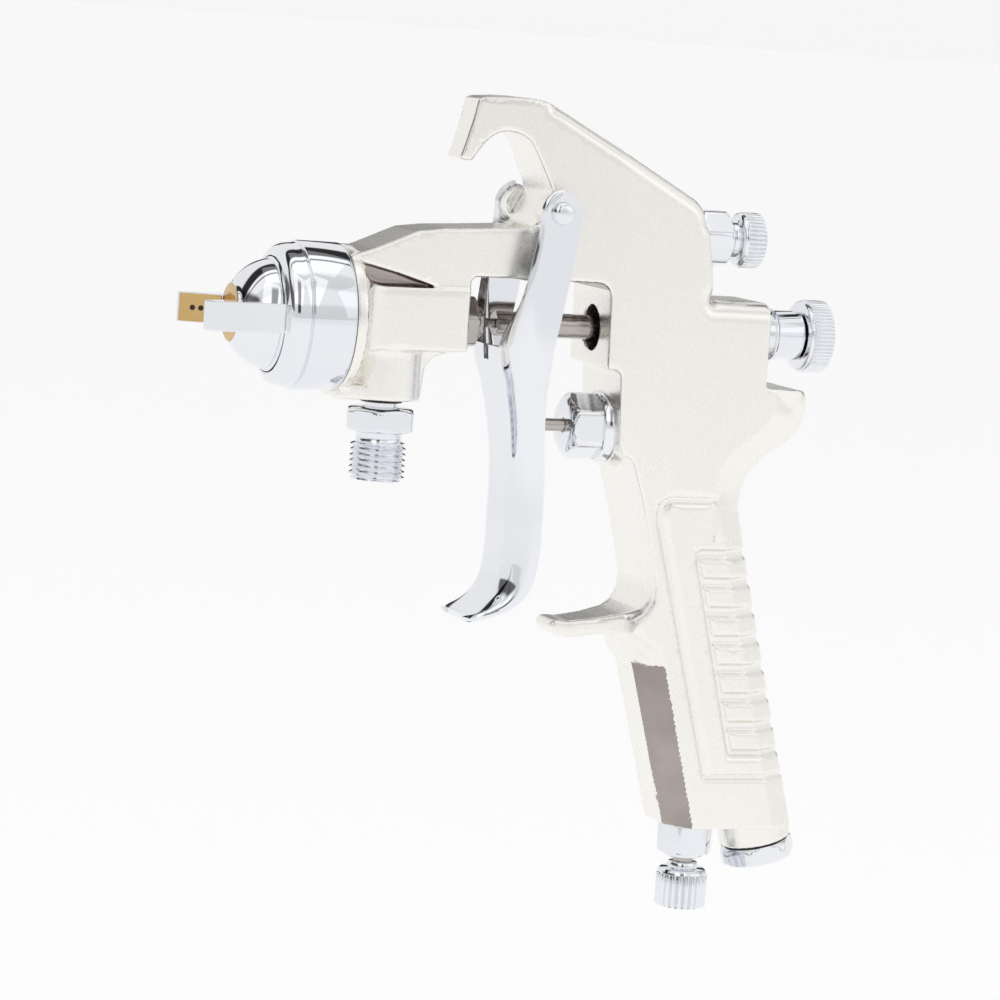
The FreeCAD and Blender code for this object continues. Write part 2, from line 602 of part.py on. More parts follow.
# ---------------------------------------------------------------- adjusting valves
def adjuster(prefix, rotation, place, front, hex_front, hex_rear, thread, across, spindle,
             tip, knob_front, knob_rear, knob_radius):
    """A hexagon gland, its spindle, sealing ring and knurled knob, all on one axis."""
    gland = turned(prefix + "_gland", [
        ("round", thread, front, hex_front),
        ("hex", across, hex_front, hex_rear)],
        [("round", f"{spindle} + hair", f"{front} - 1", f"{hex_rear} + 1")])
    spindle_solid = turned(prefix + "_spindle", [
        ("taper", "spindle_point", spindle, tip, f"{tip} + 3"),
        ("round", spindle, f"{tip} + 3", f"{knob_rear} - 1.4")])
    seal = turned(prefix + "_seal", [
        ("round", f"{spindle} + 1.3", hex_rear, f"{hex_rear} + ring_wire")],
        [("round", f"{spindle} + hair", f"{hex_rear} - 1", f"{hex_rear} + 2")])
    knob = turned(prefix + "_knob", [
        ("taper", f"{knob_radius} - 0.6", knob_radius, knob_front, f"{knob_front} + 0.6"),
        ("round", knob_radius, f"{knob_front} + 0.6", f"{knob_rear} - 0.6"),
        ("taper", knob_radius, f"{knob_radius} - 0.6", f"{knob_rear} - 0.6", knob_rear)],
        [("round", f"{spindle} + hair", f"{knob_front} - 1", f"{knob_rear} - 1.3")])
    for suffix, obj in (("gland", gland), ("spindle", spindle_solid), ("seal", seal),
                        ("knob", knob)):
        keep(f"{prefix}_{suffix}", put(obj, rotation, **place))


# ---------------------------------------------------------------- air inlet
def air_inlet_fitting():
    piece = turned("air_inlet_fitting", [
        ("round", "inlet_thread_radius", "inlet_top", "inlet_collar_top"),
        ("hex", "inlet_hex", "inlet_collar_top + washer_thick", "inlet_collar_low"),
        ("round", "inlet_thread_radius", "inlet_collar_top",
         "inlet_collar_top + washer_thick")], [
        ("round", "air_bore", "inlet_top - 1", "inlet_top + 8"),
        ("round", "inlet_bore", "inlet_top + 7", "inlet_collar_low + 1")])
    return put(piece, raked(), x="inlet_x", z="inlet_z")


def air_inlet_washer():
    piece = turned("air_inlet_washer", [
        ("round", "inlet_washer", "inlet_collar_top", "inlet_collar_top + washer_thick")],
        [("round", "inlet_thread_radius", "inlet_collar_top - 1", "inlet_collar_top + 2")])
    return put(piece, raked(), x="inlet_x", z="inlet_z")


for maker in (gun_body, fluid_nozzle, air_distributor, air_cap, air_cap_ring,
              fluid_inlet_nipple, nipple_washer, fluid_needle, needle_pusher, needle_packing,
              packing_nut, needle_spring, needle_guide, fluid_screw, fluid_knob, trigger,
              pivot_pin, pivot_screw, air_valve_body, air_valve_stem, air_valve_poppet,
              air_valve_spring, air_inlet_fitting, air_inlet_washer):
    keep(maker.__name__, maker())

adjuster("pattern", ALONG_X, {"z": "pattern_z"}, "pattern_front", "pattern_hex_front",
         "pattern_hex_rear", "pattern_thread", "pattern_hex", "pattern_spindle",
         "pattern_tip", "pattern_knob_front", "pattern_knob_rear", "pattern_knob_radius")
adjuster("regulator", DOWN, {"x": "regulator_x"}, "regulator_top", "handle_bottom",
         "regulator_hex_low", "regulator_thread", "regulator_hex", "regulator_spindle",
         "regulator_tip", "regulator_knob_top", "regulator_knob_low", "regulator_knob_radius")

doc.recompute()

# ---------------------------------------------------------------- checks and export
for obj in doc.Objects:
    if {"Invalid", "Error"} & set(obj.State):
        raise RuntimeError(f"{obj.Name} failed: {obj.State}")
for node, obj in pieces.items():
    if obj.Shape.isNull() or not obj.Shape.isValid():
        raise RuntimeError(f"{node} has no valid shape")

os.makedirs("parts", exist_ok=True)
for node, obj in sorted(pieces.items()):
    obj.Shape.exportStep(f"parts/{node}.step")
    box = obj.Shape.BoundBox
    print(f"{node:20s} solids {len(obj.Shape.Solids)} volume {obj.Shape.Volume:9.1f}  "
          f"x {box.XMin:7.2f} {box.XMax:7.2f}  y {box.YMin:7.2f} {box.YMax:7.2f}  "
          f"z {box.ZMin:7.2f} {box.ZMax:7.2f}")
print(len(pieces), "pieces")
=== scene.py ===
import math

import bmesh
import bpy
import numpy as np
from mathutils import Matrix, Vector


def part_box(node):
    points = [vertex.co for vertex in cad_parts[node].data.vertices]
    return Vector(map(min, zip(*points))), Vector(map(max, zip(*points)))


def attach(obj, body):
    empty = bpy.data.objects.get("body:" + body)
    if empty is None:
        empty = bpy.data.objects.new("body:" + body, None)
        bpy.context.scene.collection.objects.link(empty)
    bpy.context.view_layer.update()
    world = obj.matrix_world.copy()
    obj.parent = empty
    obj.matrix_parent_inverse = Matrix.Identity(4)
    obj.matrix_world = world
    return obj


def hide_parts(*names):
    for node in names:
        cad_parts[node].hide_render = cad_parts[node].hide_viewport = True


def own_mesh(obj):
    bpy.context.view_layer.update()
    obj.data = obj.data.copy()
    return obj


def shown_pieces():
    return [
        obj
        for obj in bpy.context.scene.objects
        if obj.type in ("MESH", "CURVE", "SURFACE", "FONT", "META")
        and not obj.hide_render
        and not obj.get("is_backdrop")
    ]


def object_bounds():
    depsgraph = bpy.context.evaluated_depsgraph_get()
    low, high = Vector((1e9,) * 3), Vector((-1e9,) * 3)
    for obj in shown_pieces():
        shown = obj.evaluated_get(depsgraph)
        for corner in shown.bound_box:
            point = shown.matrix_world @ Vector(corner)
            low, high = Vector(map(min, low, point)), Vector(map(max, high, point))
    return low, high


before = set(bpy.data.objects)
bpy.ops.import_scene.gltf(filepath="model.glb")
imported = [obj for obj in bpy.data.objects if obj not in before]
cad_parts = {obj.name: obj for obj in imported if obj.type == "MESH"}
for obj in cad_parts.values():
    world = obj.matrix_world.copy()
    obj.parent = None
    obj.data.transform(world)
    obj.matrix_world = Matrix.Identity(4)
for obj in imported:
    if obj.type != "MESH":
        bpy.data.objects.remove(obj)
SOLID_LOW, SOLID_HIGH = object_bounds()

import openvdb
from mathutils import Matrix, Vector

# ------------------------------------------------------------------ places, from the frame
MM = 0.001


def middle(node):
    low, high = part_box(node)
    return (low + high) / 2


SPRAY = middle("air_cap_ring").z / MM            # height of the spray axis, mm
VALVE = middle("air_valve_body").z / MM - SPRAY
PATTERN = middle("pattern_knob").z / MM - SPRAY
PIVOT = (middle("pivot_pin").x / MM, middle("pivot_pin").z / MM - SPRAY)
REGULATOR = middle("regulator_knob").x / MM
RAKE = math.radians(14.85)
RAKE_SIN, RAKE_COS = math.sin(RAKE), math.cos(RAKE)
INLET = (104.5, -125.8)                          # a point on the air inlet's axis


def span(node, axis=0):
    """Low and high end of a CAD node along one axis, mm, heights measured from the spray axis."""
    low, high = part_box(node)
    drop = SPRAY if axis == 2 else 0.0
    return low[axis] / MM - drop, high[axis] / MM - drop


# ------------------------------------------------------------------ materials
def material(name, colour, roughness, metallic=1.0, grain=220.0, bump=0.004, spread=0.03,
             second=None, patch=18.0):
    """A metal or rubber: colour drifting in soft patches, fine grain in roughness and bump."""
    mat = bpy.data.materials.new(name)
    mat.use_nodes = True
    tree = mat.node_tree
    shader = tree.nodes["Principled BSDF"]
    shader.inputs["Metallic"].default_value = metallic
    where = tree.nodes.new("ShaderNodeTexCoord")
    cloud = tree.nodes.new("ShaderNodeTexNoise")
    cloud.inputs["Scale"].default_value = patch
    cloud.inputs["Detail"].default_value = 3.0
    tree.links.new(where.outputs["Object"], cloud.inputs["Vector"])
    ramp = tree.nodes.new("ShaderNodeValToRGB")
    ramp.color_ramp.elements[0].position = 0.35
    ramp.color_ramp.elements[1].position = 0.65
    ramp.color_ramp.elements[0].color = (*colour, 1.0)
    ramp.color_ramp.elements[1].color = (*(second or colour), 1.0)
    tree.links.new(cloud.outputs["Fac"], ramp.inputs["Fac"])
    tree.links.new(ramp.outputs["Color"], shader.inputs["Base Color"])
    fine = tree.nodes.new("ShaderNodeTexNoise")
    fine.inputs["Scale"].default_value = grain
    fine.inputs["Detail"].default_value = 4.0
    tree.links.new(where.outputs["Object"], fine.inputs["Vector"])
    rough = tree.nodes.new("ShaderNodeMapRange")
    rough.inputs["To Min"].default_value = max(roughness - spread, 0.0)
    rough.inputs["To Max"].default_value = roughness + spread
    tree.links.new(fine.outputs["Fac"], rough.inputs["Value"])
    tree.links.new(rough.outputs["Result"], shader.inputs["Roughness"])
    relief = tree.nodes.new("ShaderNodeBump")
    relief.inputs["Strength"].default_value = bump
    relief.inputs["Distance"].default_value = 0.0004
    tree.links.new(fine.outputs["Fac"], relief.inputs["Height"])
    tree.links.new(relief.outputs["Normal"], shader.inputs["Normal"])
    return mat


CASTING = material("pearl_nickel_casting", (0.90, 0.88, 0.835), 0.27, 1.0, 900.0, 0.004, 0.02,
                   (0.92, 0.90, 0.86), 25.0)
# Dark brown base colour is painted reflection and painted shade, with lower roughness for the
# polished faces.
POLISHED_PAINTED_REFLECTION = material("polished_nickel_painted_reflection", (0.31, 0.27, 0.25), 0.14, 1.0, 900.0, 0.01, 0.03,
                    (0.42, 0.375, 0.35), 45.0)
CHROME = material("mirror_chrome", (0.79, 0.81, 0.85), 0.06, 1.0, 400.0, 0.004, 0.02,
                  (0.84, 0.85, 0.88), 30.0)
BRASS = material("machined_brass", (0.62, 0.42, 0.18), 0.26, 1.0, 1200.0, 0.03, 0.06,
                 (0.68, 0.48, 0.23), 60.0)
STEEL = material("ground_steel", (0.42, 0.39, 0.37), 0.16, 1.0, 900.0, 0.01, 0.05,
                 (0.50, 0.47, 0.45), 50.0)
SEAL = material("white_packing", (0.85, 0.84, 0.80), 0.5, 0.0, 700.0, 0.05, 0.05)
RUBBER = material("black_seal", (0.02, 0.02, 0.02), 0.6, 0.0, 900.0, 0.08, 0.08)
# Near-black painted shade for the jet holes: the dark inside of a hole, painted onto small plugs.
HOLE_SHADE_BLACK = material("painted_hole_shade", (0.015, 0.012, 0.01), 0.6, 0.0, 900.0, 0.05, 0.08)


# ------------------------------------------------------------------ mesh helpers
def mesh_object(name, points, faces, mat, sharp=30.0):
    """A mesh piece from points in mm about the spray axis."""
    mesh = bpy.data.meshes.new(name)
    raised = [(x * MM, y * MM, (z + SPRAY) * MM) for x, y, z in points]
    mesh.from_pydata(raised, [], faces)
    mesh.validate()
    mesh.update()
    for face in mesh.polygons:
        face.use_smooth = True
    if sharp:
        mesh.set_sharp_from_angle(angle=math.radians(sharp))
    piece = bpy.data.objects.new(name, mesh)
    bpy.context.scene.collection.objects.link(piece)
    mesh.materials.append(mat)
    return piece


def stand_for(piece, body, slot, *nodes):
    """The piece moves with a CAD body and takes the place of CAD nodes."""
    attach(piece, body)
    if nodes:
        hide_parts(*nodes)
    return piece


class Axis:
    """A line that turned pieces are made about: a point, a direction and a start angle."""

    def __init__(self, point, along, up):
        self.point = np.array(point, float)
        self.along = np.array(along, float)
        self.up = np.array(up, float)
        self.side = np.cross(self.along, self.up)

    def place(self, station, radius, angle):
        return (self.point + self.along * station
                + self.up * radius * math.cos(angle) + self.side * radius * math.sin(angle))


SPRAY_AXIS = Axis((0, 0, 0), (1, 0, 0), (0, 0, 1))
VALVE_AXIS = Axis((0, 0, VALVE), (1, 0, 0), (0, 0, 1))
PATTERN_AXIS = Axis((0, 0, PATTERN), (1, 0, 0), (0, 0, 1))
DOWN_AXIS = Axis((0, 0, 0), (0, 0, -1), (1, 0, 0))
REGULATOR_AXIS = Axis((REGULATOR, 0, 0), (0, 0, -1), (1, 0, 0))
INLET_AXIS = Axis((INLET[0], 0, INLET[1]), (RAKE_SIN, 0, -RAKE_COS), (RAKE_COS, 0, RAKE_SIN))
LEFT_PIVOT = Axis((PIVOT[0], 0, PIVOT[1]), (0, -1, 0), (0, 0, 1))
RIGHT_PIVOT = Axis((PIVOT[0], 0, PIVOT[1]), (0, 1, 0), (0, 0, 1))


def plain(station, angle, radius):
    return radius


def hexagon(flats, turn=0.0, corner=0.97):
    """Radius rule for a hexagon bar whose corners are turned down a little."""
    def rule(station, angle, radius):
        around = (angle + turn + math.pi / 6) % (math.pi / 3) - math.pi / 6
        face = flats / 2 / math.cos(around)
        return min(face, radius, flats / math.sqrt(3) * corner)
    return rule


def fluted(count, depth):
    """Radius rule for straight knurling."""
    def rule(station, angle, radius):
        wave = abs((angle * count / (2 * math.pi)) % 1.0 - 0.5) * 2
        return radius - depth * (1 - min(1.0, 1.35 * wave)) ** 1.2
    return rule


def threaded(pitch, depth):
    """Radius rule for a screw thread, crest at the given radius."""
    def rule(station, angle, radius):
        wave = abs((station / pitch + angle / (2 * math.pi)) % 1.0 - 0.5) * 2
        return radius - depth * min(1.0, max(0.0, 1.25 * wave - 0.12))
    return rule


def eased(profile, ease=0.22):
    """Cuts the corners of a plain profile so that edges catch the light."""
    result = [profile[0]]
    for before, here, after in zip(profile, profile[1:], profile[2:]):
        for other in (before, after):
            gap = math.dist(here, other)
            share = min(ease, 0.45 * gap) / gap if gap else 0.0
            result.append((here[0] + (other[0] - here[0]) * share,
                           here[1] + (other[1] - here[1]) * share))
    return result + [profile[-1]]


def rows_between(start, end, step):
    """Stations from start to end, about one step apart."""
    count = max(1, int(round((end - start) / step)))
    return [start + (end - start) * i / count for i in range(count + 1)]


def turned(name, axis, parts, mat, segments=96, sharp=32.0):
    """A closed turned piece.  parts: (rule, [(station, radius), ...]) runs, joined in order.

    A profile that comes back to its first point makes a ring, open along its axis.
    """
    ring = parts[0][1][0] == parts[-1][1][-1]
    rings = []
    for rule, profile in parts:
        for station, radius in profile:
            rings.append([axis.place(station, rule(station, 2 * math.pi * k / segments, radius),
                                     2 * math.pi * k / segments) for k in range(segments)])
    if ring:
        rings.pop()
    points = [tuple(point) for loop in rings for point in loop]
    faces = []
    for i in range(len(rings) if ring else len(rings) - 1):
        j = (i + 1) % len(rings)
        for k in range(segments):
            k2 = (k + 1) % segments
            faces.append((i * segments + k, i * segments + k2, j * segments + k2,
                          j * segments + k))
    if not ring:
        faces.append(tuple(range(segments))[::-1])
        last = (len(rings) - 1) * segments
        faces.append(tuple(last + k for k in range(segments)))
    return mesh_object(name, points, faces, mat, sharp)


# ------------------------------------------------------------------ the casting, as a field
STEP = 0.33                                      # grid spacing, mm
GRID_X = np.arange(-26.0, 116.0, STEP)
GRID_Y = np.arange(0.0, 19.2, STEP)
GRID_Z = np.arange(-130.0, 56.0, STEP)
X2, Z2 = np.meshgrid(GRID_X, GRID_Z, indexing="ij")
X3, Z3 = X2[:, None, :], Z2[:, None, :]
Y3 = GRID_Y[None, :, None]


def outline(points, x=None, z=None):
    """Signed distance to a closed side outline, negative inside."""
    x = X2 if x is None else x
    z = Z2 if z is None else z
    best = np.full(x.shape, 1e9)
    inside = np.zeros(x.shape, bool)
    for (ax, az), (bx, bz) in zip(points, points[1:] + points[:1]):
        ex, ez = bx - ax, bz - az
        share = np.clip(((x - ax) * ex + (z - az) * ez) / (ex * ex + ez * ez + 1e-12), 0, 1)
        best = np.minimum(best, (x - ax - share * ex) ** 2 + (z - az - share * ez) ** 2)
        if bz != az:
            crosses = ((az > z) != (bz > z)) & (x < ex * (z - az) / ez + ax)
            inside ^= crosses
    return np.where(inside, -1, 1) * np.sqrt(best)


def polyline(points):
    """Distance to an open line."""
    best = np.full(X2.shape, 1e9)
    for (ax, az), (bx, bz) in zip(points, points[1:]):
        ex, ez = bx - ax, bz - az
        share = np.clip(((X2 - ax) * ex + (Z2 - az) * ez) / (ex * ex + ez * ez), 0, 1)
        best = np.minimum(best, (X2 - ax - share * ex) ** 2 + (Z2 - az - share * ez) ** 2)
    return np.sqrt(best)


def blurred(field, size):
    """Gaussian blur, size in mm."""
    reach = max(1, int(math.ceil(2.5 * size / STEP)))
    weights = np.exp(-0.5 * (np.arange(-reach, reach + 1) * STEP / size) ** 2)
    weights /= weights.sum()
    for axis in range(field.ndim):
        padded = np.pad(field, [(reach, reach) if a == axis else (0, 0)
                                for a in range(field.ndim)],
                        mode="reflect" if axis == 1 and field.ndim == 3 else "edge")
        total = np.zeros_like(field)
        for i, weight in enumerate(weights):
            cut = [slice(None)] * field.ndim
            cut[axis] = slice(i, i + field.shape[axis])
            total += weight * padded[tuple(cut)]
        field = total
    return field


def meet(a, b, radius):
    """Intersection with a rounded edge."""
    u, v = np.maximum(a + radius, 0), np.maximum(b + radius, 0)
    return np.sqrt(u * u + v * v) + np.minimum(np.maximum(a, b) + radius, 0) - radius


def join(a, b, blend=0.0):
    """Union with a fillet."""
    if not blend:
        return np.minimum(a, b)
    overlap = np.maximum(blend - np.abs(a - b), 0) / blend
    return np.minimum(a, b) - overlap * overlap * blend / 4


def ramp(value, low, high):
    """0 below low, 1 above high, smooth between."""
    share = np.clip((value - low) / (high - low), 0, 1)
    return share * share * (3 - 2 * share)


def slab(points, half, radius, soften=0.0):
    """A side outline given a half thickness, with its edges rounded."""
    flat = outline(points)
    if soften:
        flat = blurred(flat, soften)
    return meet(flat[:, None, :], Y3 - (half if np.isscalar(half) else half[:, None, :]), radius)


def rod_x(radius, start, end, height=0.0, edge=0.4):
    """A round bar along the spray axis."""
    across = np.sqrt(Y3 ** 2 + (Z3 - height) ** 2) - radius
    return meet(across, np.abs(X3 - (start + end) / 2) - (end - start) / 2, edge)


def rod_z(radius, x, low, high, edge=0.4):
    """An upright round bar."""
    across = np.sqrt(Y3 ** 2 + (X3 - x) ** 2) - radius
    return meet(across, np.abs(Z3 - (low + high) / 2) - (high - low) / 2, edge)


HALF = 12.5                                      # half thickness of the frame and grip
GRIP_BOTTOM = -118.5
RIBS, RIB_TOP, RIB_PITCH, RIB_HEIGHT = 7, -53.1, 6.9, 4.5
# Side outline of the frame and grip, in three runs: front, rear of the grip and tail, back.
FRONT_LINE = [
    (13.6, 37.9), (16.6, 37.6), (18.2, 40.2), (19.6, 42.3), (21.2, 43.8), (22.8, 44.7),
    (24.6, 45.0), (27.2, 44.6), (29.6, 43.1), (31.5, 39.6), (33.6, 35.4), (35.4, 31.5),
    (32.5, 26.0), (30.5, 20.0), (30.0, 11.2), (47.8, 11.2), (49.4, 10.7), (50.4, 9.6),
    (50.8, 7.9), (51.2, -8.8), (53.7, -8.9), (54.6, -9.9), (55.4, -26.4), (56.6, -28.8),
    (59.2, -30.0), (62.6, -40.0), (66.1, -53.4), (67.5, -59.5), (67.2, -63.5), (65.5, -66.4),
    (63.0, -68.4), (62.6, -71.4), (64.3, -74.6), (76.5, GRIP_BOTTOM)]
REAR_LINE = [
    (110.7, GRIP_BOTTOM), (92.5, -50.0), (90.4, -41.4), (90.9, -37.0), (92.4, -33.4), (96.4, -28.8),
    (101.4, -25.8), (104.6, -22.8), (105.8, -19.6), (105.9, -17.2), (105.5, -14.6),
    (104.4, -12.9), (103.0, -12.4)]
BACK_LINE = [
    (92.0, -11.8), (92.0, 8.2), (77.4, 8.3), (76.9, 14.0), (75.8, 20.6), (75.0, 25.0),
    (74.0, 28.3), (72.8, 30.3), (71.0, 31.8), (59.0, 38.4), (45.0, 46.1), (38.4, 49.8),
    (35.0, 51.6), (31.8, 52.6), (29.0, 52.9), (24.0, 52.9), (19.0, 52.6), (17.2, 52.1),
    (16.4, 47.8), (15.0, 42.4)]
SILHOUETTE = FRONT_LINE + REAR_LINE + BACK_LINE
# The flat of the side: what lies outside it slopes away to the rear line.
SIDE_REGION = [
    (-60.0, 90.0), (140.0, 90.0), (140.0, -11.8), (94.2, -11.8), (94.6, -14.5), (94.9, -18.0),
    (92.4, -22.2), (87.5, -25.7), (83.9, -29.1), (82.1, -32.7), (81.5, -37.5),
    (102.9, GRIP_BOTTOM), (110.0, -145.0), (-60.0, -145.0)]
# Runs of the outline whose edges are softened.
SOFT_BACK = [(74.6, 26.5), (74.0, 28.3), (72.8, 30.3), (71.0, 31.8), (59.0, 38.4),
             (45.0, 46.1), (38.4, 49.8), (35.0, 51.6)]
SOFT_REAR = [(77.4, 8.3), (76.9, 14.0), (75.8, 20.6), (74.6, 26.5)]
SOFT_BOSS = [(77.4, 8.3), (92.0, 8.2)]


def rounding(line, radius):
    """How far the side drops away near a softened edge."""
    near = np.clip(1 - polyline(line) / radius, 0, 1)
    return radius * (1 - np.sqrt(1 - near * near))


def grip_relief():
    """Depth of the grip's sunk panel, its raised pad and its ribs."""
    across = X2 * RAKE_COS + Z2 * RAKE_SIN       # distance square to the rake
    panel = outline([(69.8, -38.3), (67.4, -39.2), (66.3, -41.4), (66.4, -44.4),
                     (83.2, -106.1), (125.0, -106.1), (125.0, -50.8), (81.4, -50.8),
                     (81.4, -38.3)])
    pad = outline([(70.2, -39.8), (68.7, -41.0), (68.6, -43.4), (84.9, -104.9),
                   (125.0, -104.9), (125.0, -48.0), (81.0, -48.0), (81.0, -39.8)])
    bed = outline([(78.4, -50.8), (77.2, -51.6), (77.3, -53.4), (88.9, -99.2), (89.8, -100.5),
                   (125.0, -100.5), (125.0, -50.8)])
    depth = 0.8 * (1 - ramp(panel, -0.4, 0.4)) * ramp(pad, -0.4, 0.4)
    depth += 0.12 * (1 - ramp(pad, -0.5, 0.5))
    sunk = 1 - ramp(bed, -0.35, 0.35)
    ribs = np.zeros_like(X2)
    for i in range(RIBS):
        top = RIB_TOP - RIB_PITCH * i
        tall = np.abs(Z2 - (top - RIB_HEIGHT / 2)) - RIB_HEIGHT / 2
        rib = np.maximum(tall, 62.0 - across)
        ribs = np.maximum(ribs, 1 - ramp(rib, -0.45, 0.35))
    return depth + 1.05 * sunk * (1 - ribs), across


def casting():
    """Distance field of the right half of the casting."""
    relief, across = grip_relief()
    flat = outline(SILHOUETTE)
    # Half thickness over the side view.
    plan = np.interp(GRID_X, [10.0, 16.0, 36.0, 52.0], [4.7, 4.7, 10.0, HALF])
    half = blurred(np.repeat(plan[:, None], len(GRID_Z), axis=1), 1.2)
    rear = np.maximum(-flat, 0)
    beyond = np.maximum(outline(SIDE_REGION), 0)
    share = np.clip(polyline(REAR_LINE) / (polyline(REAR_LINE) + beyond + 1e-6), 0, 1)
    facet = np.interp(share, [0.0, 0.22, 1.0], [4.2, 8.5, HALF])
    half = np.where(beyond > 0, np.minimum(half, facet), half)
    front = np.clip((across - 43.6) / 4.8, 0, 1) + ramp(Z2, -77.0, -70.0)
    half = np.minimum(half, 5.5 + (HALF - 5.5) * np.clip(front, 0, 1))
    half = blurred(half, 0.35)
    for line, radius in ((SOFT_BACK, 3.6), (SOFT_REAR, 2.4), (SOFT_BOSS, 4.6)):
        half = half - rounding(line, radius) * (rear >= 0)
    half = half - relief
    flat = blurred(flat, 0.3) + relief * ramp(across, 68.0, 72.0)
    solid = meet(flat[:, None, :], (Y3 - half[:, None, :]) * 0.97, 0.5)
    solid = meet(solid, GRIP_BOTTOM - Z3, 0.5)
    # Finger rest.
    rest_half = np.interp(GRID_X, [42.0, 46.0, 56.0, 62.0, 66.0, 72.0],
                          [4.4, 5.2, 6.4, 8.0, 10.0, 10.8])
    rest = slab([(70.0, -61.5), (66.8, -63.6), (65.0, -65.9), (61.5, -67.2), (55.0, -68.6),
                 (49.0, -69.4), (46.6, -69.2), (44.9, -69.3), (43.9, -70.4), (44.2, -71.9),
                 (45.6, -73.0), (49.5, -73.5), (56.0, -72.3), (60.5, -72.5), (63.4, -74.6),
                 (65.4, -78.5), (71.0, -80.0), (72.0, -61.5)],
                np.repeat(rest_half[:, None], len(GRID_Z), axis=1), 0.9, 0.4)
    solid = join(solid, rest, 1.8)
    # Bosses.
    solid = join(solid, rod_x(9.2, 55.9, 70.0, VALVE), 0.8)
    bar = np.sqrt((X3 - PIVOT[0]) ** 2 + (Z3 - PIVOT[1]) ** 2) - 4.2
    solid = join(solid, meet(bar, np.abs(Y3 - 11.7) - 2.6, 0.4), 0.8)
    down = (X3 - INLET[0]) * RAKE_SIN - (Z3 - INLET[1]) * RAKE_COS
    out = np.sqrt(((X3 - INLET[0]) * RAKE_COS + (Z3 - INLET[1]) * RAKE_SIN) ** 2 + Y3 ** 2)
    inlet = meet(out - 8.7, np.abs(down + 9.5) - 6.5, 0.3)
    solid = join(solid, np.maximum(inlet, Z3 + 117.6), 0.6)
    # Bridge over the barrel and the core under it.
    bridge = slab([(-12.4, 13.8), (-10.6, 13.5), (-0.7, 11.2), (6.8, 9.0), (11.8, 7.6),
                   (17.0, 7.4), (17.1, 10.2), (18.2, 11.2), (38.0, 11.2), (38.0, 23.6),
                   (31.7, 23.2), (18.1, 22.4), (10.0, 22.0), (3.5, 21.2), (-6.6, 16.8),
                   (-12.4, 14.8)],
                  9.1, 0.4)
    core = slab([(-12.0, 0.0), (-12.0, 14.0), (34.0, 20.0), (34.0, 11.2), (17.0, 11.2),
                 (17.0, 0.0)], 5.2, 0.5)
    # Barrel block, swelling into the flange.
    barrel = slab([(-10.0, -6.4), (17.0, -6.4), (17.0, 8.2), (-10.0, 8.2)], 9.5, 0.5)
    swell = rod_x(14.2, -11.6, -9.6)
    barrel = join(barrel, swell, 6.5)
    # Foot: a round boss over the inlet, a plate in front of it and a gusset up to the flange.
    boss = rod_z(8.6, 0.0, -18.5, 2.0, 0.4)
    plate = slab([(-13.0, -18.1), (-12.9, -15.7), (-10.2, -15.1), (0.0, -15.1), (0.0, -18.5),
                  (-12.6, -18.5)], 6.2, 0.4)
    gusset = slab([(-10.7, -15.0), (-6.4, -15.0), (-1.7, -12.2), (3.0, -8.2), (6.0, -6.0),
                   (-9.0, -6.0)], 3.6, 0.4)
    heel = slab([(0.0, -6.0), (0.0, -18.5), (7.8, -18.5), (8.8, -10.2), (10.6, -8.2),
                 (16.8, -6.2)], 4.6, 0.6, 0.3)
    foot = join(join(boss, plate, 0.4), join(gusset, heel, 0.5), 0.8)
    nose = join(join(barrel, foot, 1.6), core, 0.8)
    nose = join(nose, bridge, 0.5)
    solid = join(solid, nose, 1.6)
    solid = join(solid, rod_x(16.9, -12.6, -10.0, 0.0, 0.35), 0.2)
    solid = np.minimum(solid, rod_x(14.4, -24.0, -11.0))
    # Needle chamber, open to the trigger window.
    solid = np.maximum(solid, -rod_x(5.4, 30.0, 84.0))
    return blurred(solid, 0.22)


def trilinear(field, low, points):
    """The field's value at points between its grid's own."""
    spot = (points - low) / STEP
    base = np.clip(np.floor(spot).astype(int), 0, np.array(field.shape) - 2)
    part = spot - base
    total = np.zeros(len(points))
    for corner in np.ndindex(2, 2, 2):
        index = base + corner
        weight = np.prod(np.where(np.array(corner) == 1, part, 1 - part), axis=1)
        total += weight * field[index[:, 0], index[:, 1], index[:, 2]]
    return total


def build_casting():
    """Both halves of the field as one mesh, lit by the field's own slope."""
    half = casting().astype(np.float32)
    field = np.concatenate([half[:, :0:-1, :], half], axis=1)
    low = np.array([GRID_X[0], -GRID_Y[-1], GRID_Z[0]])
    band = 3 * STEP
    grid = openvdb.FloatGrid(band)
    grid.copyFromArray(np.clip(field, -band, band))
    points, triangles, quads = grid.convertToPolygons(isovalue=0.0, adaptivity=0.02)
    points = points.astype(float) * STEP + low
    reach = 0.25
    normals = np.stack([
        trilinear(field, low, points + reach * axis) - trilinear(field, low, points - reach * axis)
        for axis in np.eye(3)], axis=1)
    normals /= np.linalg.norm(normals, axis=1, keepdims=True) + 1e-12
    faces = [tuple(face[::-1]) for face in triangles] + [tuple(face[::-1]) for face in quads]
    a, b, c = (points[faces[0][k]] for k in range(3))
    if np.dot(np.cross(b - a, c - a), normals[faces[0][0]]) < 0:
        faces = [face[::-1] for face in faces]
    piece = mesh_object("casting", points.tolist(), [list(map(int, f)) for f in faces],
                        CASTING, sharp=0)
    if len(piece.data.vertices) == len(normals):
        piece.data.normals_split_custom_set_from_vertices(normals.tolist())
    # The second, dark material holds painted reflection and painted shade.
    polish_and_paint_reflection(piece)
    print("casting faces", len(piece.data.polygons))
    return piece


BEVEL_TOP, BEVEL_REAR = -79.0, 49.2              # where the painted dark reflection on the grip's bevel starts and stops
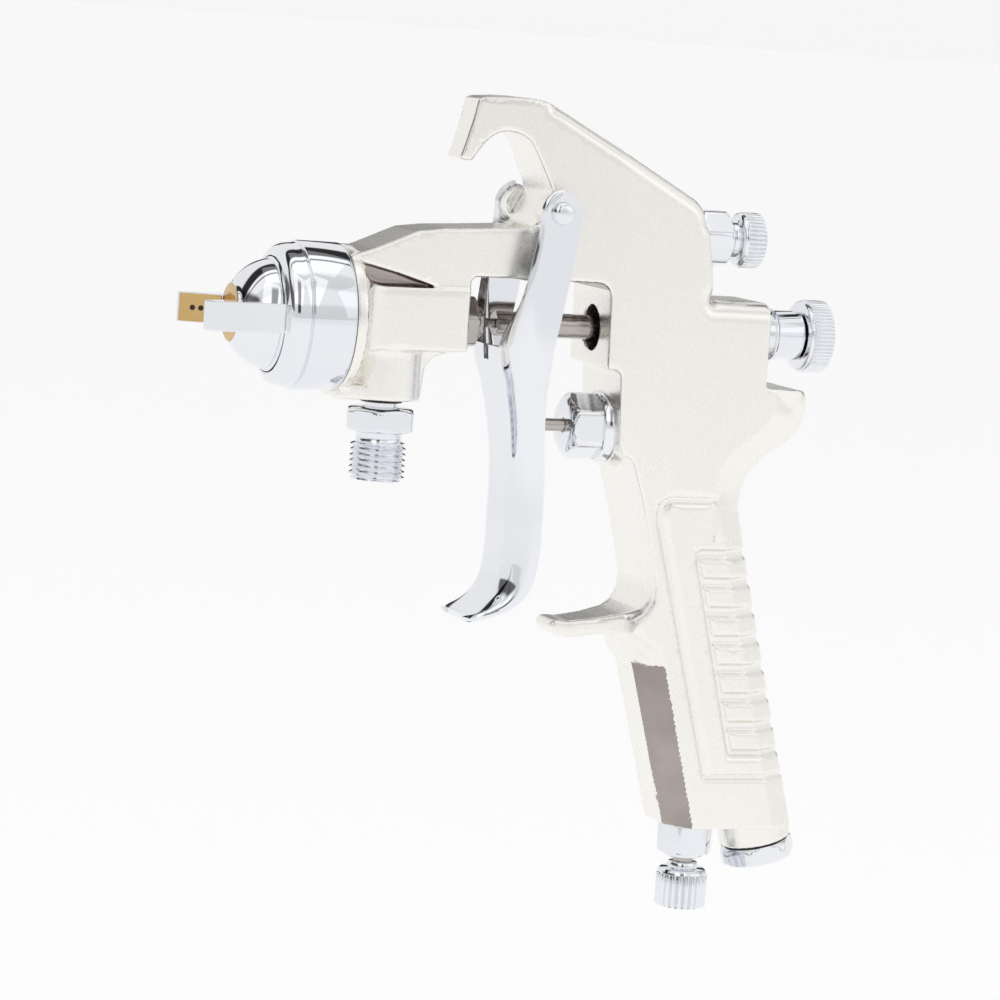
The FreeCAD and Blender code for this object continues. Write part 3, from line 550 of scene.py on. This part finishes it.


def polish_and_paint_reflection(piece):
    """Lower roughness plus a painted dark reflection on the grip's front bevel and the pocket over
    the barrel, and painted shade on the window's ceiling.
    """
    piece.data.materials.append(POLISHED_PAINTED_REFLECTION)
    for face in piece.data.polygons:
        x, z = face.center.x / MM, face.center.z / MM - SPRAY
        across = x * RAKE_COS + z * RAKE_SIN
        bevel = z < BEVEL_TOP and across < BEVEL_REAR and abs(face.normal.y) > 0.3
        pocket = -8.0 < x < 8.0 and 8.2 < z < 13.6 and abs(face.center.y) / MM < 8.6
        ceiling = 17.0 < x < 52.0 and 6.0 < z < 11.5 and face.normal.z < -0.5
        # Faces given the dark material: painted reflection on the bevel and pocket, painted shade
        # on the downward-facing ceiling.
        if (bevel and face.normal.x < -0.4) or pocket or ceiling:
            face.material_index = 1


stand_for(build_casting(), "gun", "casting", "gun_body")


# ------------------------------------------------------------------ nozzle, cap and ring
def ring():
    """The cap ring, with a rounded shoulder and a step at its rear."""
    front, rear = span("air_cap_ring")
    radius = span("air_cap_ring", 1)[1]
    outer = [(front + 0.9, 13.25), (front - 0.1, 13.5), (front - 0.2, 13.9), (front + 0.3, 14.6)]
    for i in range(1, 9):
        turn = math.pi / 2 * i / 8
        outer.append((front + 0.3 + 3.9 * (1 - math.cos(turn)), 14.6 + 2.0 * math.sin(turn)))
    outer += [(-23.75, 16.75), (-23.55, 16.6), (-23.3, 16.6), (-23.1, radius - 0.1),
              (-22.9, radius), (-13.6, radius), (-13.3, radius - 0.1), (-13.15, radius - 0.35),
              (rear - 0.3, radius - 0.35), (rear, radius - 0.6)]
    return turned("cap_ring", SPRAY_AXIS, [(plain, outer + [(rear, 14.6), (-24.2, 14.6),
                  (-24.2, 13.6), (front + 0.9, 13.25)])], CHROME, 128, 40)


stand_for(ring(), "cap_ring", "chrome", "air_cap_ring")


def cap_dome():
    """The cap's dome, open in the middle for the nozzle."""
    lip = span("air_cap_ring")[0]
    profile = [(lip + 2.2, 12.6), (lip + 2.2, 14.0), (lip + 1.2, 14.0), (lip + 1.1, 13.2),
               (lip - 0.3, 13.2), (lip - 0.55, 13.0), (lip - 0.75, 12.6), (lip - 0.95, 12.7)]
    for i in range(15):
        share = i / 14
        profile.append((-29.7 - 7.9 * share, 12.7 - 1.7 * share - 4.0 * share ** 2.4))
    profile += [(-37.8, 6.9), (-37.95, 6.7), (-37.8, 6.5), (-37.8, 2.3), (-36.0, 2.3),
                (-36.0, 4.6), (-29.0, 11.0), (lip + 2.2, 12.6)]
    return turned("cap_dome", SPRAY_AXIS, [(plain, profile)], CHROME, 128, 35)


def cap_face():
    """The brass disc round the nozzle."""
    profile = [(-37.7, 6.6), (-38.0, 6.6), (-38.05, 6.5), (-38.05, 2.9), (-37.8, 2.5),
               (-36.6, 2.1), (-36.6, 4.0), (-37.7, 6.6)]
    return turned("cap_face", SPRAY_AXIS, [(plain, profile)], BRASS, 96, 35)


def horn(side):
    """One horn: a bar with a slanted brass inner face."""
    tip = span("air_cap")[0]
    tall = 3.4
    plan = [(-28.3, 13.2), (tip + 1.7, 13.2), (tip, 11.5), (tip, 10.5), (-38.0, 6.35),
            (-37.0, 5.4), (-34.0, 5.4), (-30.0, 10.0)]
    points = [(x, side * y, z) for z in (-tall, tall) for x, y in plan]
    count = len(plan)
    faces = [tuple(range(count)), tuple(range(2 * count - 1, count - 1, -1))]
    faces += [(i, count + i, count + (i + 1) % count, (i + 1) % count) for i in range(count)]
    if side < 0:
        faces = [face[::-1] for face in faces]
    bar = mesh_object("horn_right" if side > 0 else "horn_left", points, faces, CHROME)
    bar.data.flip_normals()
    soften(bar, 0.22)
    inner = [(tip + 0.25, 10.45), (-38.25, 6.25)]
    nudge = 0.12
    across = np.array([inner[1][0] - inner[0][0], inner[1][1] - inner[0][1]])
    normal = np.array([-across[1], across[0]]) / np.linalg.norm(across)
    if normal[1] > 0:
        normal = -normal
    plate = []
    for lift in (-0.3, nudge):
        for x, y in inner:
            for z in (-tall + 0.15, tall - 0.15):
                plate.append((x + normal[0] * lift, side * (y + normal[1] * lift), z))
    faces = [(0, 1, 3, 2), (4, 6, 7, 5), (0, 4, 5, 1), (2, 3, 7, 6), (0, 2, 6, 4), (1, 5, 7, 3)]
    face = mesh_object("horn_face_right" if side > 0 else "horn_face_left", plate, faces, BRASS)
    recalculate(face)
    soften(face, 0.06)
    recalculate(bar)
    hole_shade_plugs = []
    # Each jet hole is a small near-black plug: painted shade in place of the hole's dark inside.
    for number, share in enumerate((0.33, 0.53)):
        x, y = inner[0][0] + across[0] * share, inner[0][1] + across[1] * share
        start = np.array([x + normal[0] * nudge, side * (y + normal[1] * nudge), 0.0])
        along = np.array([normal[0], side * normal[1], 0.0])
        line = Axis(start, along, (0, 0, 1))
        hole_shade_plugs.append(turned(f"{bar.name}_jet_shade_{number}", line, [(plain, [
            (0.02, 0.01), (0.02, 0.5), (0.06, 0.62), (-0.1, 0.66), (-0.4, 0.6), (-0.4, 0.01)])],
            HOLE_SHADE_BLACK, 32))
    return [bar, face] + hole_shade_plugs


def recalculate(piece):
    """Face directions and sharp edges worked out afresh."""
    work = bmesh.new()
    work.from_mesh(piece.data)
    bmesh.ops.recalc_face_normals(work, faces=work.faces)
    work.to_mesh(piece.data)
    work.free()
    piece.data.set_sharp_from_angle(angle=math.radians(30))


def soften(piece, width, segments=3):
    """Rounds the sharp edges, width in mm."""
    bevel = piece.modifiers.new("edges", "BEVEL")
    bevel.width = width * MM
    bevel.segments = segments
    bevel.limit_method = "ANGLE"
    bevel.angle_limit = math.radians(25)
    bevel.harden_normals = True
    return piece


stand_for(cap_dome(), "air_cap", "chrome", "air_cap")
for extra in [cap_face()] + horn(1) + horn(-1):
    stand_for(extra, "air_cap", "brass" if extra.data.materials[0] == BRASS else "chrome")

tip_front = span("fluid_nozzle")[0]
nozzle = turned("nozzle_tip", SPRAY_AXIS, [(plain, eased([
    (tip_front + 0.6, 0.75), (tip_front, 1.0), (tip_front, 1.5), (tip_front + 1.6, 1.65),
    (-31.0, 3.8), (-31.0, 5.5), (-28.0, 5.5), (-28.0, 8.0), (-26.0, 8.0), (-26.0, 5.0),
    (-12.0, 5.0), (-12.0, 3.2)]))], BRASS, 64)
stand_for(nozzle, "gun", "brass", "fluid_nozzle")


# ------------------------------------------------------------------ fluid inlet
NIPPLE_PITCH, NIPPLE_RADIUS = 1.337, 6.58        # G 1/4 pipe thread, mm


def nipple():
    """The fluid fitting: a hexagon collar over a threaded end."""
    hexes = hexagon(15.4, math.radians(41))
    thread = threaded(NIPPLE_PITCH, 0.95)
    return turned("inlet_nipple", DOWN_AXIS, [
        (plain, [(16.0, 3.9), (20.45, 3.9), (20.6, 4.3), (20.6, 6.9)]),
        (hexes, [(20.75, 7.5), (21.0, 8.0), (21.4, 8.6), (21.9, 9.2)]
         + [(s, 9.4) for s in (23.0, 24.0)]
         + [(24.9, 9.2), (25.4, 8.7), (25.8, 8.1), (26.1, 7.5)]),
        (plain, [(26.2, 6.9), (26.2, 5.6), (26.4, 5.35), (28.3, 5.35), (28.6, 5.6)]),
        (thread, [(s, NIPPLE_RADIUS - max(0.0, 28.95 - s) * 1.6 - max(0.0, s - 36.9) * 1.2)
                  for s in rows_between(28.65, 37.4, 0.14)]),
        (plain, [(37.5, 5.7), (37.5, 3.0), (37.0, 2.8), (30.0, 2.8)])], CHROME, 96, 60)


stand_for(nipple(), "gun", "chrome", "fluid_inlet_nipple")


# ------------------------------------------------------------------ needle line
nut_front, nut_rear = 17.0, span("packing_nut")[1]
stand_for(turned("packing_gland", SPRAY_AXIS, [
    (plain, [(15.5, 3.0), (nut_front, 3.2), (nut_front, 5.2)]),
    (hexagon(11.4, math.radians(12)), [(nut_front + 0.1, 5.6), (nut_front + 0.5, 6.2),
                                       (nut_front + 0.9, 6.8), (20.3, 6.8), (20.8, 6.2),
                                       (21.2, 5.6)]),
    (plain, [(21.25, 5.2), (21.3, 3.7), (21.5, 3.5), (nut_rear - 0.2, 3.5), (nut_rear, 3.3),
             (nut_rear, 1.2), (20.0, 1.15)])], STEEL, 96, 32), "gun", "chrome", "packing_nut")

push_front, push_rear = span("needle_pusher")
stand_for(turned("pusher_sleeve", SPRAY_AXIS, [(plain, eased([
    (push_front + 0.4, 1.05), (push_front, 1.4), (push_front, 2.9), (push_rear - 2.0, 2.9),
    (push_rear - 2.0, 4.6), (push_rear, 4.6), (push_rear, 1.2)], 0.25))], STEEL, 72),
    "needle", "steel", "needle_pusher")

guide_front, guide_rear = span("needle_guide")
stand_for(turned("guide_sleeve", SPRAY_AXIS, [(plain, eased([
    (guide_front, 4.4), (guide_front, 5.9), (96.4, 5.9), (96.4, 6.25), (97.1, 6.25),
    (97.3, 5.9), (guide_rear - 0.1, 5.9), (guide_rear, 5.5), (guide_rear, 4.4),
    (guide_front, 4.4)], 0.2))],
    CHROME, 96), "gun", "chrome", "needle_guide")

knob_front, knob_rear = span("fluid_knob")
knob_radius = span("fluid_knob", 1)[1]
stand_for(turned("fluid_hand_knob", SPRAY_AXIS, [
    (plain, [(knob_rear - 1.6, 3.05), (knob_front + 0.1, 3.05), (knob_front, 3.4),
             (knob_front, 7.9), (knob_front + 0.15, 8.2), (knob_front + 0.5, 8.35),
             (knob_front + 0.9, 8.35), (knob_front + 1.0, 8.3)]),
    (fluted(56, 0.42), [(knob_front + 1.05, knob_radius - 0.05), (knob_front + 1.2, knob_radius),
                        (knob_rear - 0.5, knob_radius), (knob_rear - 0.2, knob_radius - 0.25)]),
    (plain, [(knob_rear - 0.05, 8.1), (knob_rear, 7.8), (knob_rear, 3.4),
             (knob_rear - 0.6, 3.05)])], CHROME, 448, 50), "fluid_knob", "chrome", "fluid_knob")


# ------------------------------------------------------------------ air valve
hex_front = span("air_valve_body")[0]
stand_for(turned("valve_gland", VALVE_AXIS, [
    (plain, [(hex_front + 0.6, 1.6), (hex_front + 0.1, 1.8), (hex_front, 2.1),
             (hex_front, 5.6)]),
    (hexagon(14.0, math.radians(30)), [(hex_front + 0.15, 6.2), (hex_front + 0.5, 6.8),
                                      (hex_front + 1.0, 7.4), (hex_front + 1.5, 8.0),
                                      (hex_front + 1.8, 8.4), (53.0, 8.4), (53.3, 8.2)]),
    (plain, [(53.4, 7.4), (53.4, 7.9), (53.6, 8.15), (55.2, 8.75), (55.6, 8.8), (55.85, 8.6),
             (56.0, 6.5), (60.0, 6.5)])], CHROME, 96, 32), "gun", "chrome", "air_valve_body")
stem_front, stem_rear = span("air_valve_stem")
stand_for(turned("valve_stem_rod", VALVE_AXIS, [(plain, eased([
    (stem_front + 0.2, 0.4), (stem_front, 1.0), (stem_front + 0.4, 1.5),
    (stem_rear, 1.5), (stem_rear, 0.4)], 0.15))], STEEL, 40),
    "valve_stem", "steel", "air_valve_stem")


# ------------------------------------------------------------------ adjusting valves
def knurled_knob(name, axis, front, rear, radius, neck, flutes, depth):
    """A hand knob with a neck, a shoulder and a fluted rim."""
    return turned(name, axis, [
        (plain, [(front - 1.6, 2.6), (front - 1.6, neck - 0.3), (front - 1.3, neck),
                 (front - 0.1, neck), (front, neck + 0.2), (front, radius - 1.1),
                 (front + 0.2, radius - 0.7), (front + 0.7, radius - 0.25),
                 (front + 1.2, radius - 0.15)]),
        (fluted(flutes, depth), [(front + 1.3, radius - 0.15), (front + 1.6, radius),
                                 (rear - 0.6, radius), (rear - 0.2, radius - 0.3)]),
        (plain, [(rear - 0.05, radius - 0.7), (rear, radius - 1.0), (rear, 1.4),
                 (rear - 0.3, 0.4)])], CHROME, flutes * 8, 50)


k_front, k_rear = span("pattern_knob")
stand_for(knurled_knob("pattern_hand_knob", PATTERN_AXIS, k_front, k_rear, 6.6, 4.3, 36, 0.6),
          "pattern_knob", "chrome", "pattern_knob")
k_low, k_high = span("regulator_knob", 2)
stand_for(knurled_knob("regulator_hand_knob", REGULATOR_AXIS, -k_high, -k_low, 6.2, 3.6, 22,
                       0.85), "regulator_knob", "chrome", "regulator_knob")


def gland(name, axis, face, rear, flats, hub, turn):
    """A hexagon gland with a round hub."""
    return turned(name, axis, [
        (plain, [(face - 2.0, 4.0), (face, 4.0), (face, flats / 2 - 0.2)]),
        (hexagon(flats, turn), [(face + 0.1, flats / 2 + 0.05), (face + 0.6, flats / 2 + 0.6),
                                (face + 1.0, flats), (rear - 1.4, flats),
                                (rear - 0.9, flats / 2 + 0.7), (rear - 0.4, flats / 2 + 0.2)]),
        (plain, [(rear - 0.3, flats / 2 - 0.2), (rear - 0.2, hub + 0.3), (rear, hub),
                 (rear + 0.6, hub), (rear + 0.75, hub - 0.3), (rear + 0.75, 2.6),
                 (rear - 1.0, 2.5)])], CHROME, 96, 32)


stand_for(gland("pattern_valve_gland", PATTERN_AXIS, 76.2, span("pattern_gland")[1], 12.4, 4.9,
                math.radians(12)), "gun", "chrome", "pattern_gland")
stand_for(gland("regulator_valve_gland", REGULATOR_AXIS, 118.5, -span("regulator_gland", 2)[0],
                12.2, 4.6, math.radians(26)), "gun", "chrome", "regulator_gland")


# ------------------------------------------------------------------ air inlet
stand_for(turned("inlet_collar", INLET_AXIS, [
    (plain, [(-5.0, 7.2), (-3.0, 7.2), (-2.6, 7.4), (-2.6, 7.9)]),
    (hexagon(16.4, math.radians(24)), [(-2.5, 8.3), (-2.1, 8.8), (-1.6, 9.3), (1.0, 9.3),
                                       (1.4, 8.9), (1.75, 8.4)]),
    (plain, [(1.8, 8.0), (1.8, 6.2), (1.4, 5.75), (-8.0, 5.72)])], CHROME, 96, 32),
    "gun", "chrome", "air_inlet_fitting")


# ------------------------------------------------------------------ trigger
def smooth_rows(rows, count):
    """Catmull-Rom through rows of numbers, spaced by the first pair's travel."""
    rows = np.array(rows, float)
    travel = np.concatenate([[0], np.cumsum(np.linalg.norm(np.diff(rows[:, :2], axis=0),
                                                            axis=1))])
    slopes = np.gradient(rows, travel, axis=0)
    result = []
    for t in np.linspace(0, travel[-1], count):
        i = min(np.searchsorted(travel, t, side="right") - 1, len(rows) - 2)
        gap = travel[i + 1] - travel[i]
        u = (t - travel[i]) / gap
        a, b = rows[i], rows[i + 1]
        ma, mb = slopes[i] * gap, slopes[i + 1] * gap
        result.append((2 * u ** 3 - 3 * u ** 2 + 1) * a + (u ** 3 - 2 * u ** 2 + u) * ma
                      + (3 * u ** 2 - 2 * u ** 3) * b + (u ** 3 - u ** 2) * mb)
    return result


# Rows down the trigger: front x, front z, rear x, rear z, half width, half flat, corner depth.
TRIGGER_ROWS = [
    (34.6, 32.1, 36.2, 32.1, 15.5, 15.3, 0.2), (33.0, 31.5, 37.9, 31.5, 15.5, 15.3, 0.3),
    (31.4, 30.1, 39.4, 30.1, 15.5, 15.3, 0.3), (30.6, 28.4, 40.2, 28.4, 15.5, 15.3, 0.3),
    (30.5, 26.4, 40.4, 26.4, 15.5, 15.3, 0.3), (30.4, 23.6, 40.2, 23.6, 15.5, 15.3, 0.3),
    (29.9, 19.6, 39.6, 19.4, 15.5, 15.2, 0.4), (29.0, 15.0, 38.9, 14.6, 15.5, 15.1, 0.5),
    (28.2, 10.0, 38.1, 9.6, 15.5, 14.7, 1.0), (27.2, 5.0, 37.3, 4.6, 15.5, 13.4, 2.4),
    (25.8, 0.0, 36.5, 0.0, 15.5, 10.6, 4.8), (25.0, -4.0, 35.8, -4.0, 15.4, 8.6, 6.3),
    (25.4, -9.0, 35.6, -9.0, 14.9, 7.2, 6.8),
    (26.8, -14.0, 35.5, -14.0, 13.8, 6.3, 6.6), (28.0, -19.0, 35.8, -19.6, 12.8, 5.8, 6.0),
    (29.6, -28.0, 36.7, -29.0, 11.6, 5.6, 5.4), (30.4, -38.0, 37.4, -38.0, 11.2, 5.6, 5.0),
    (30.4, -46.0, 37.5, -46.6, 11.2, 5.6, 4.8), (30.4, -52.0, 37.4, -53.4, 11.2, 5.6, 4.6),
    (30.2, -56.0, 36.6, -58.6, 11.1, 5.6, 4.4), (29.4, -60.4, 34.8, -62.8, 10.8, 5.6, 4.0),
    (27.6, -63.8, 31.6, -65.8, 10.2, 5.6, 3.0), (25.0, -66.2, 27.4, -67.8, 9.4, 5.4, 1.8),
    (22.6, -67.7, 23.6, -68.7, 8.2, 5.0, 0.8), (21.6, -68.2, 22.2, -69.0, 6.6, 4.0, 0.45)]
SHEET = 1.9
WEB_TOP = -4.4                                   # where the front web starts, below the needle
SLOT_HALF, SLOT_BOTTOM = 1.7, -8.0


def trigger_shell():
    """Two arms and the bowed channel below the needle, one folded sheet."""
    rows = smooth_rows(TRIGGER_ROWS, 128)
    points, faces = [], []
    for fx, fz, bx, bz, half, flat, corner in rows:
        front, back = np.array([fx, fz]), np.array([bx, bz])
        depth = np.linalg.norm(back - front)
        corner = min(corner, depth * 0.9)
        reach = (back - front) / depth
        side = []
        for share in np.linspace(0, 1, 5)[:-1]:
            side.append((depth + (corner - depth) * share, half))
        for turn in np.linspace(0, math.pi / 2, 13)[:-1]:
            side.append((corner * (1 - math.sin(turn) ** 1.3),
                         flat + (half - flat) * math.cos(turn) ** 1.3))
        for share in np.linspace(0, 1, 6)[:-1]:
            side.append((0.0, flat * (1 - share)))
        profile = side + [(0.0, 0.0)] + [(d, -y) for d, y in side[::-1]]
        for d, y in profile:
            spot = front + reach * (d + SHEET / 2 * (1 - d / depth))
            points.append((spot[0], y, spot[1]))
    width = len(profile)
    web = range(16, width - 17)
    for i in range(len(rows) - 1):
        for k in range(width - 1):
            a = i * width + k
            height = points[a][2]
            across = abs(points[a][1] + points[a + 1][1]) / 2
            if k in web and height > WEB_TOP:
                continue
            if across < SLOT_HALF and height > SLOT_BOTTOM:
                continue
            faces.append((a, a + 1, a + width + 1, a + width))
    return mesh_object("trigger_shell", points, faces, CHROME, sharp=0)


channel = trigger_shell()
thick = channel.modifiers.new("sheet", "SOLIDIFY")
thick.thickness = SHEET * MM
thick.offset = 0.0
thick.use_even_offset = True
soften(channel, 0.3)
stand_for(channel, "trigger", "chrome", "trigger")

for name, line, node in (("pin_head", LEFT_PIVOT, "pivot_pin"),
                         ("screw_head", RIGHT_PIVOT, "pivot_screw")):
    start = 16.5
    inner = -16.4 if node == "pivot_pin" else 14.0
    stand_for(turned(name, line, [(plain, [
        (inner, 0.5), (inner, 1.7), (start, 1.7), (start, 2.5), (start + 0.35, 2.75),
        (start + 1.0, 2.7), (start + 1.5, 2.35), (start + 1.85, 1.7), (start + 2.0, 1.0),
        (start + 2.05, 0.3)])], CHROME, 64, 40), "gun", "steel", node)


# ------------------------------------------------------------------ springs inside
def coil(name, axis, start, end, radius, wire, turns):
    """A wire wound on an axis, with its end turns laid closed."""
    steps, around = turns * 28, 12
    points, faces = [], []
    for i in range(steps + 1):
        share = i / steps
        angle = 2 * math.pi * turns * share
        lay = share - 0.06 * math.sin(2 * math.pi * share) / math.pi
        station = start + wire / 2 + (end - start - wire) * lay
        for k in range(around):
            turn = 2 * math.pi * k / around
            points.append(tuple(axis.place(station + wire / 2 * math.sin(turn),
                                           radius + wire / 2 * math.cos(turn), angle)))
    for i in range(steps):
        for k in range(around):
            k2 = (k + 1) % around
            faces.append((i * around + k, i * around + k2, (i + 1) * around + k2,
                          (i + 1) * around + k))
    faces.append(tuple(range(around))[::-1])
    faces.append(tuple(steps * around + k for k in range(around)))
    return mesh_object(name, points, faces, STEEL, 0)


SPRING_RADIUS, SPRING_WIRE = 3.5, 0.9
CHAMBER_END = 89.0                               # blind end of the air valve's chamber
screw_front = span("fluid_screw")[0]
needle_coil = coil("needle_coil", SPRAY_AXIS, push_rear, screw_front, SPRING_RADIUS,
                   SPRING_WIRE, 8)
stand_for(needle_coil, "gun", "spring_steel", "needle_spring")
poppet_rear = span("air_valve_poppet")[1]
valve_coil = coil("valve_coil", VALVE_AXIS, poppet_rear, CHAMBER_END, SPRING_RADIUS,
                  SPRING_WIRE, 6)
stand_for(valve_coil, "gun", "spring_steel", "air_valve_spring")
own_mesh(needle_coil)
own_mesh(valve_coil)


# ------------------------------------------------------------------ CAD pieces that stay
STAYING = {
    "air_distributor": BRASS, "nipple_washer": RUBBER, "air_inlet_washer": RUBBER,
    "fluid_needle": STEEL, "needle_packing": SEAL, "fluid_screw": STEEL,
    "air_valve_poppet": STEEL, "pattern_spindle": STEEL, "pattern_seal": SEAL,
    "regulator_spindle": STEEL, "regulator_seal": SEAL}
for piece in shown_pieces():
    if piece.name in STAYING:
        piece.data.materials.clear()
        piece.data.materials.append(STAYING[piece.name])


# ------------------------------------------------------------------ camera
def camera():
    """A long lens in front of the gun's left side, a little above it."""
    turn, lift, roll = math.radians(-21.0636), math.radians(6.7078), math.radians(4.0419)
    distance, lens = 0.984766, 150.67
    aim = Vector((0.031211, 0.0, SPRAY * MM - 0.041634))
    back = Vector((math.sin(turn) * math.cos(lift), -math.cos(turn) * math.cos(lift),
                   math.sin(lift)))
    right = Vector((math.cos(turn), math.sin(turn), 0))
    up = back.cross(right)
    rolled_right = math.cos(roll) * right + math.sin(roll) * up
    rolled_up = -math.sin(roll) * right + math.cos(roll) * up
    data = bpy.data.cameras.new("camera")
    data.lens = lens
    data.sensor_width = 36.0
    eye = bpy.data.objects.new("camera", data)
    bpy.context.scene.collection.objects.link(eye)
    spot = aim + back * distance
    eye.matrix_world = Matrix((
        (rolled_right.x, rolled_up.x, back.x, spot.x),
        (rolled_right.y, rolled_up.y, back.y, spot.y),
        (rolled_right.z, rolled_up.z, back.z, spot.z), (0, 0, 0, 1)))
    bpy.context.scene.camera = eye


camera()


# ------------------------------------------------------------------ floor, sky and lamps
def floor():
    """A plain pale floor just under the gun."""
    mat = bpy.data.materials.new("pale_floor")
    mat.use_nodes = True
    shader = mat.node_tree.nodes["Principled BSDF"]
    shader.inputs["Base Color"].default_value = (0.88, 0.88, 0.88, 1)
    shader.inputs["Roughness"].default_value = 1.0
    shader.inputs["Specular IOR Level"].default_value = 0.0
    shader.inputs["Emission Color"].default_value = (1, 1, 1, 1)
    shader.inputs["Emission Strength"].default_value = 0.34
    mesh = bpy.data.meshes.new("floor")
    reach, drop = 90.0, SOLID_LOW.z - 0.35
    mesh.from_pydata([(-reach, -reach, drop), (reach, -reach, drop), (reach, reach, drop),
                      (-reach, reach, drop)], [], [(0, 1, 2, 3)])
    mesh.materials.append(mat)
    ground = bpy.data.objects.new("floor", mesh)
    bpy.context.scene.collection.objects.link(ground)
    ground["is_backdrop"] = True


class Sky:
    """Node helpers for a white studio with dark cards standing in it."""

    def __init__(self, tree):
        self.tree = tree
        where = tree.nodes.new("ShaderNodeTexCoord")
        parts = tree.nodes.new("ShaderNodeSeparateXYZ")
        tree.links.new(where.outputs["Generated"], parts.inputs["Vector"])
        self.x, self.y, self.z = (parts.outputs[name] for name in "XYZ")

    def sums(self, operation, one, other):
        node = self.tree.nodes.new("ShaderNodeMath")
        node.operation = operation
        for socket, value in zip(node.inputs, (one, other)):
            if isinstance(value, (int, float)):
                socket.default_value = value
            else:
                self.tree.links.new(value, socket)
        return node.outputs["Value"]

    def along(self, x, y):
        """How far a direction points along a level one."""
        return self.sums("ADD", self.sums("MULTIPLY", self.x, x), self.sums("MULTIPLY", self.y, y))

    def step(self, value, low, high, low_level=0.0, high_level=1.0):
        node = self.tree.nodes.new("ShaderNodeMapRange")
        node.interpolation_type = "SMOOTHSTEP"
        for name, level in (("From Min", low), ("From Max", high), ("To Min", low_level),
                            ("To Max", high_level)):
            node.inputs[name].default_value = level
        self.tree.links.new(value, node.inputs["Value"])
        return node.outputs["Result"]

    def both(self, *masks):
        result = masks[0]
        for mask in masks[1:]:
            result = self.sums("MULTIPLY", result, mask)
        return result


def studio():
    """An even white studio with dark bands and cards for the chrome, and three big lamps."""
    world = bpy.data.worlds.new("studio")
    bpy.context.scene.world = world
    world.use_nodes = True
    tree = world.node_tree
    sky = Sky(tree)
    # Bands that run along the gun, by the angle over the top: 0 level in front, 180 behind.
    turn = sky.sums("ARCTAN2", sky.sums("MAXIMUM", sky.z, 0.0), sky.sums("MULTIPLY", sky.y, -1.0))
    share = sky.sums("DIVIDE", turn, math.pi)
    bands = tree.nodes.new("ShaderNodeValToRGB")
    tree.links.new(share, bands.inputs["Fac"])
    stops = [(0, 0.74), (18, 0.78), (23, 0.96), (43, 0.96), (49, 0.74), (69, 0.80), (75, 1.0),
             (95, 1.0), (96.5, 0.08), (98.5, 0.08), (100, 1.0), (106, 1.0), (108, 0.03),
             (128, 0.03), (131, 0.92), (180, 0.92)]
    levels = bands.color_ramp
    while len(levels.elements) < len(stops):
        levels.elements.new(0.5)
    for element, (angle, level) in zip(levels.elements, stops):
        element.position = angle / 180
        element.color = (level, level, level, 1)
    # Dark cards: a tall one in front, one beyond the gun's nose and one behind its tail.
    card = sky.both(sky.step(sky.along(-0.36, -0.93), 0.1, 0.3),
                    sky.step(sky.sums("ABSOLUTE", sky.along(0.93, -0.36), 0.0), 0.10, 0.16,
                             1.0, 0.0),
                    sky.step(sky.z, 0.80, 0.9, 1.0, 0.0))
    nose = sky.both(sky.step(sky.along(-1.0, 0.0), 0.74, 0.84),
                    sky.step(sky.z, 0.45, 0.6, 1.0, 0.0))
    rear = sky.both(sky.step(sky.x, 0.0, 0.1), sky.step(sky.y, 0.5, 0.6),
                    sky.step(sky.z, 0.05, 0.08), sky.step(sky.z, 0.34, 0.37, 1.0, 0.0))
    dark = sky.sums("MAXIMUM", sky.sums("MULTIPLY", card, 0.93), sky.sums("MULTIPLY", nose, 0.85))
    dark = sky.sums("MAXIMUM", dark, sky.sums("MULTIPLY", rear, 0.95))
    # The horizon stays clear of cards, so the background is plain from every side.
    dark = sky.both(dark, sky.step(sky.z, 0.09, 0.15))
    ends = sky.step(sky.x, 0.55, 0.75)
    light = sky.sums("SUBTRACT", 1.0, dark)
    level = tree.nodes.new("ShaderNodeMix")
    level.data_type = "RGBA"
    level.blend_type = "MULTIPLY"
    level.inputs["Factor"].default_value = 1.0
    tree.links.new(sky.sums("MAXIMUM", bands.outputs["Color"], sky.sums("MULTIPLY", ends, 0.8)),
                   level.inputs["A"])
    tree.links.new(light, level.inputs["B"])
    background = tree.nodes["Background"]
    tree.links.new(level.outputs["Result"], background.inputs["Color"])
    background.inputs["Strength"].default_value = 1.0

    for name, spot, size, power in (
            ("key", (-1.2, -2.2, 2.4), 3.0, 9.0), ("fill", (2.4, -2.2, 1.4), 2.6, 4.0),
            ("top", (0.1, 0.2, 3.0), 2.6, 4.0)):
        lamp = bpy.data.lights.new(name, "AREA")
        lamp.size = size
        lamp.energy = power
        thing = bpy.data.objects.new(name, lamp)
        bpy.context.scene.collection.objects.link(thing)
        thing.location = spot
        aim = Vector((0.035, 0, 0.0)) - Vector(spot)
        thing.rotation_euler = aim.to_track_quat("-Z", "Y").to_euler()
    bpy.context.scene.view_settings.view_transform = "Standard"


floor()
studio()
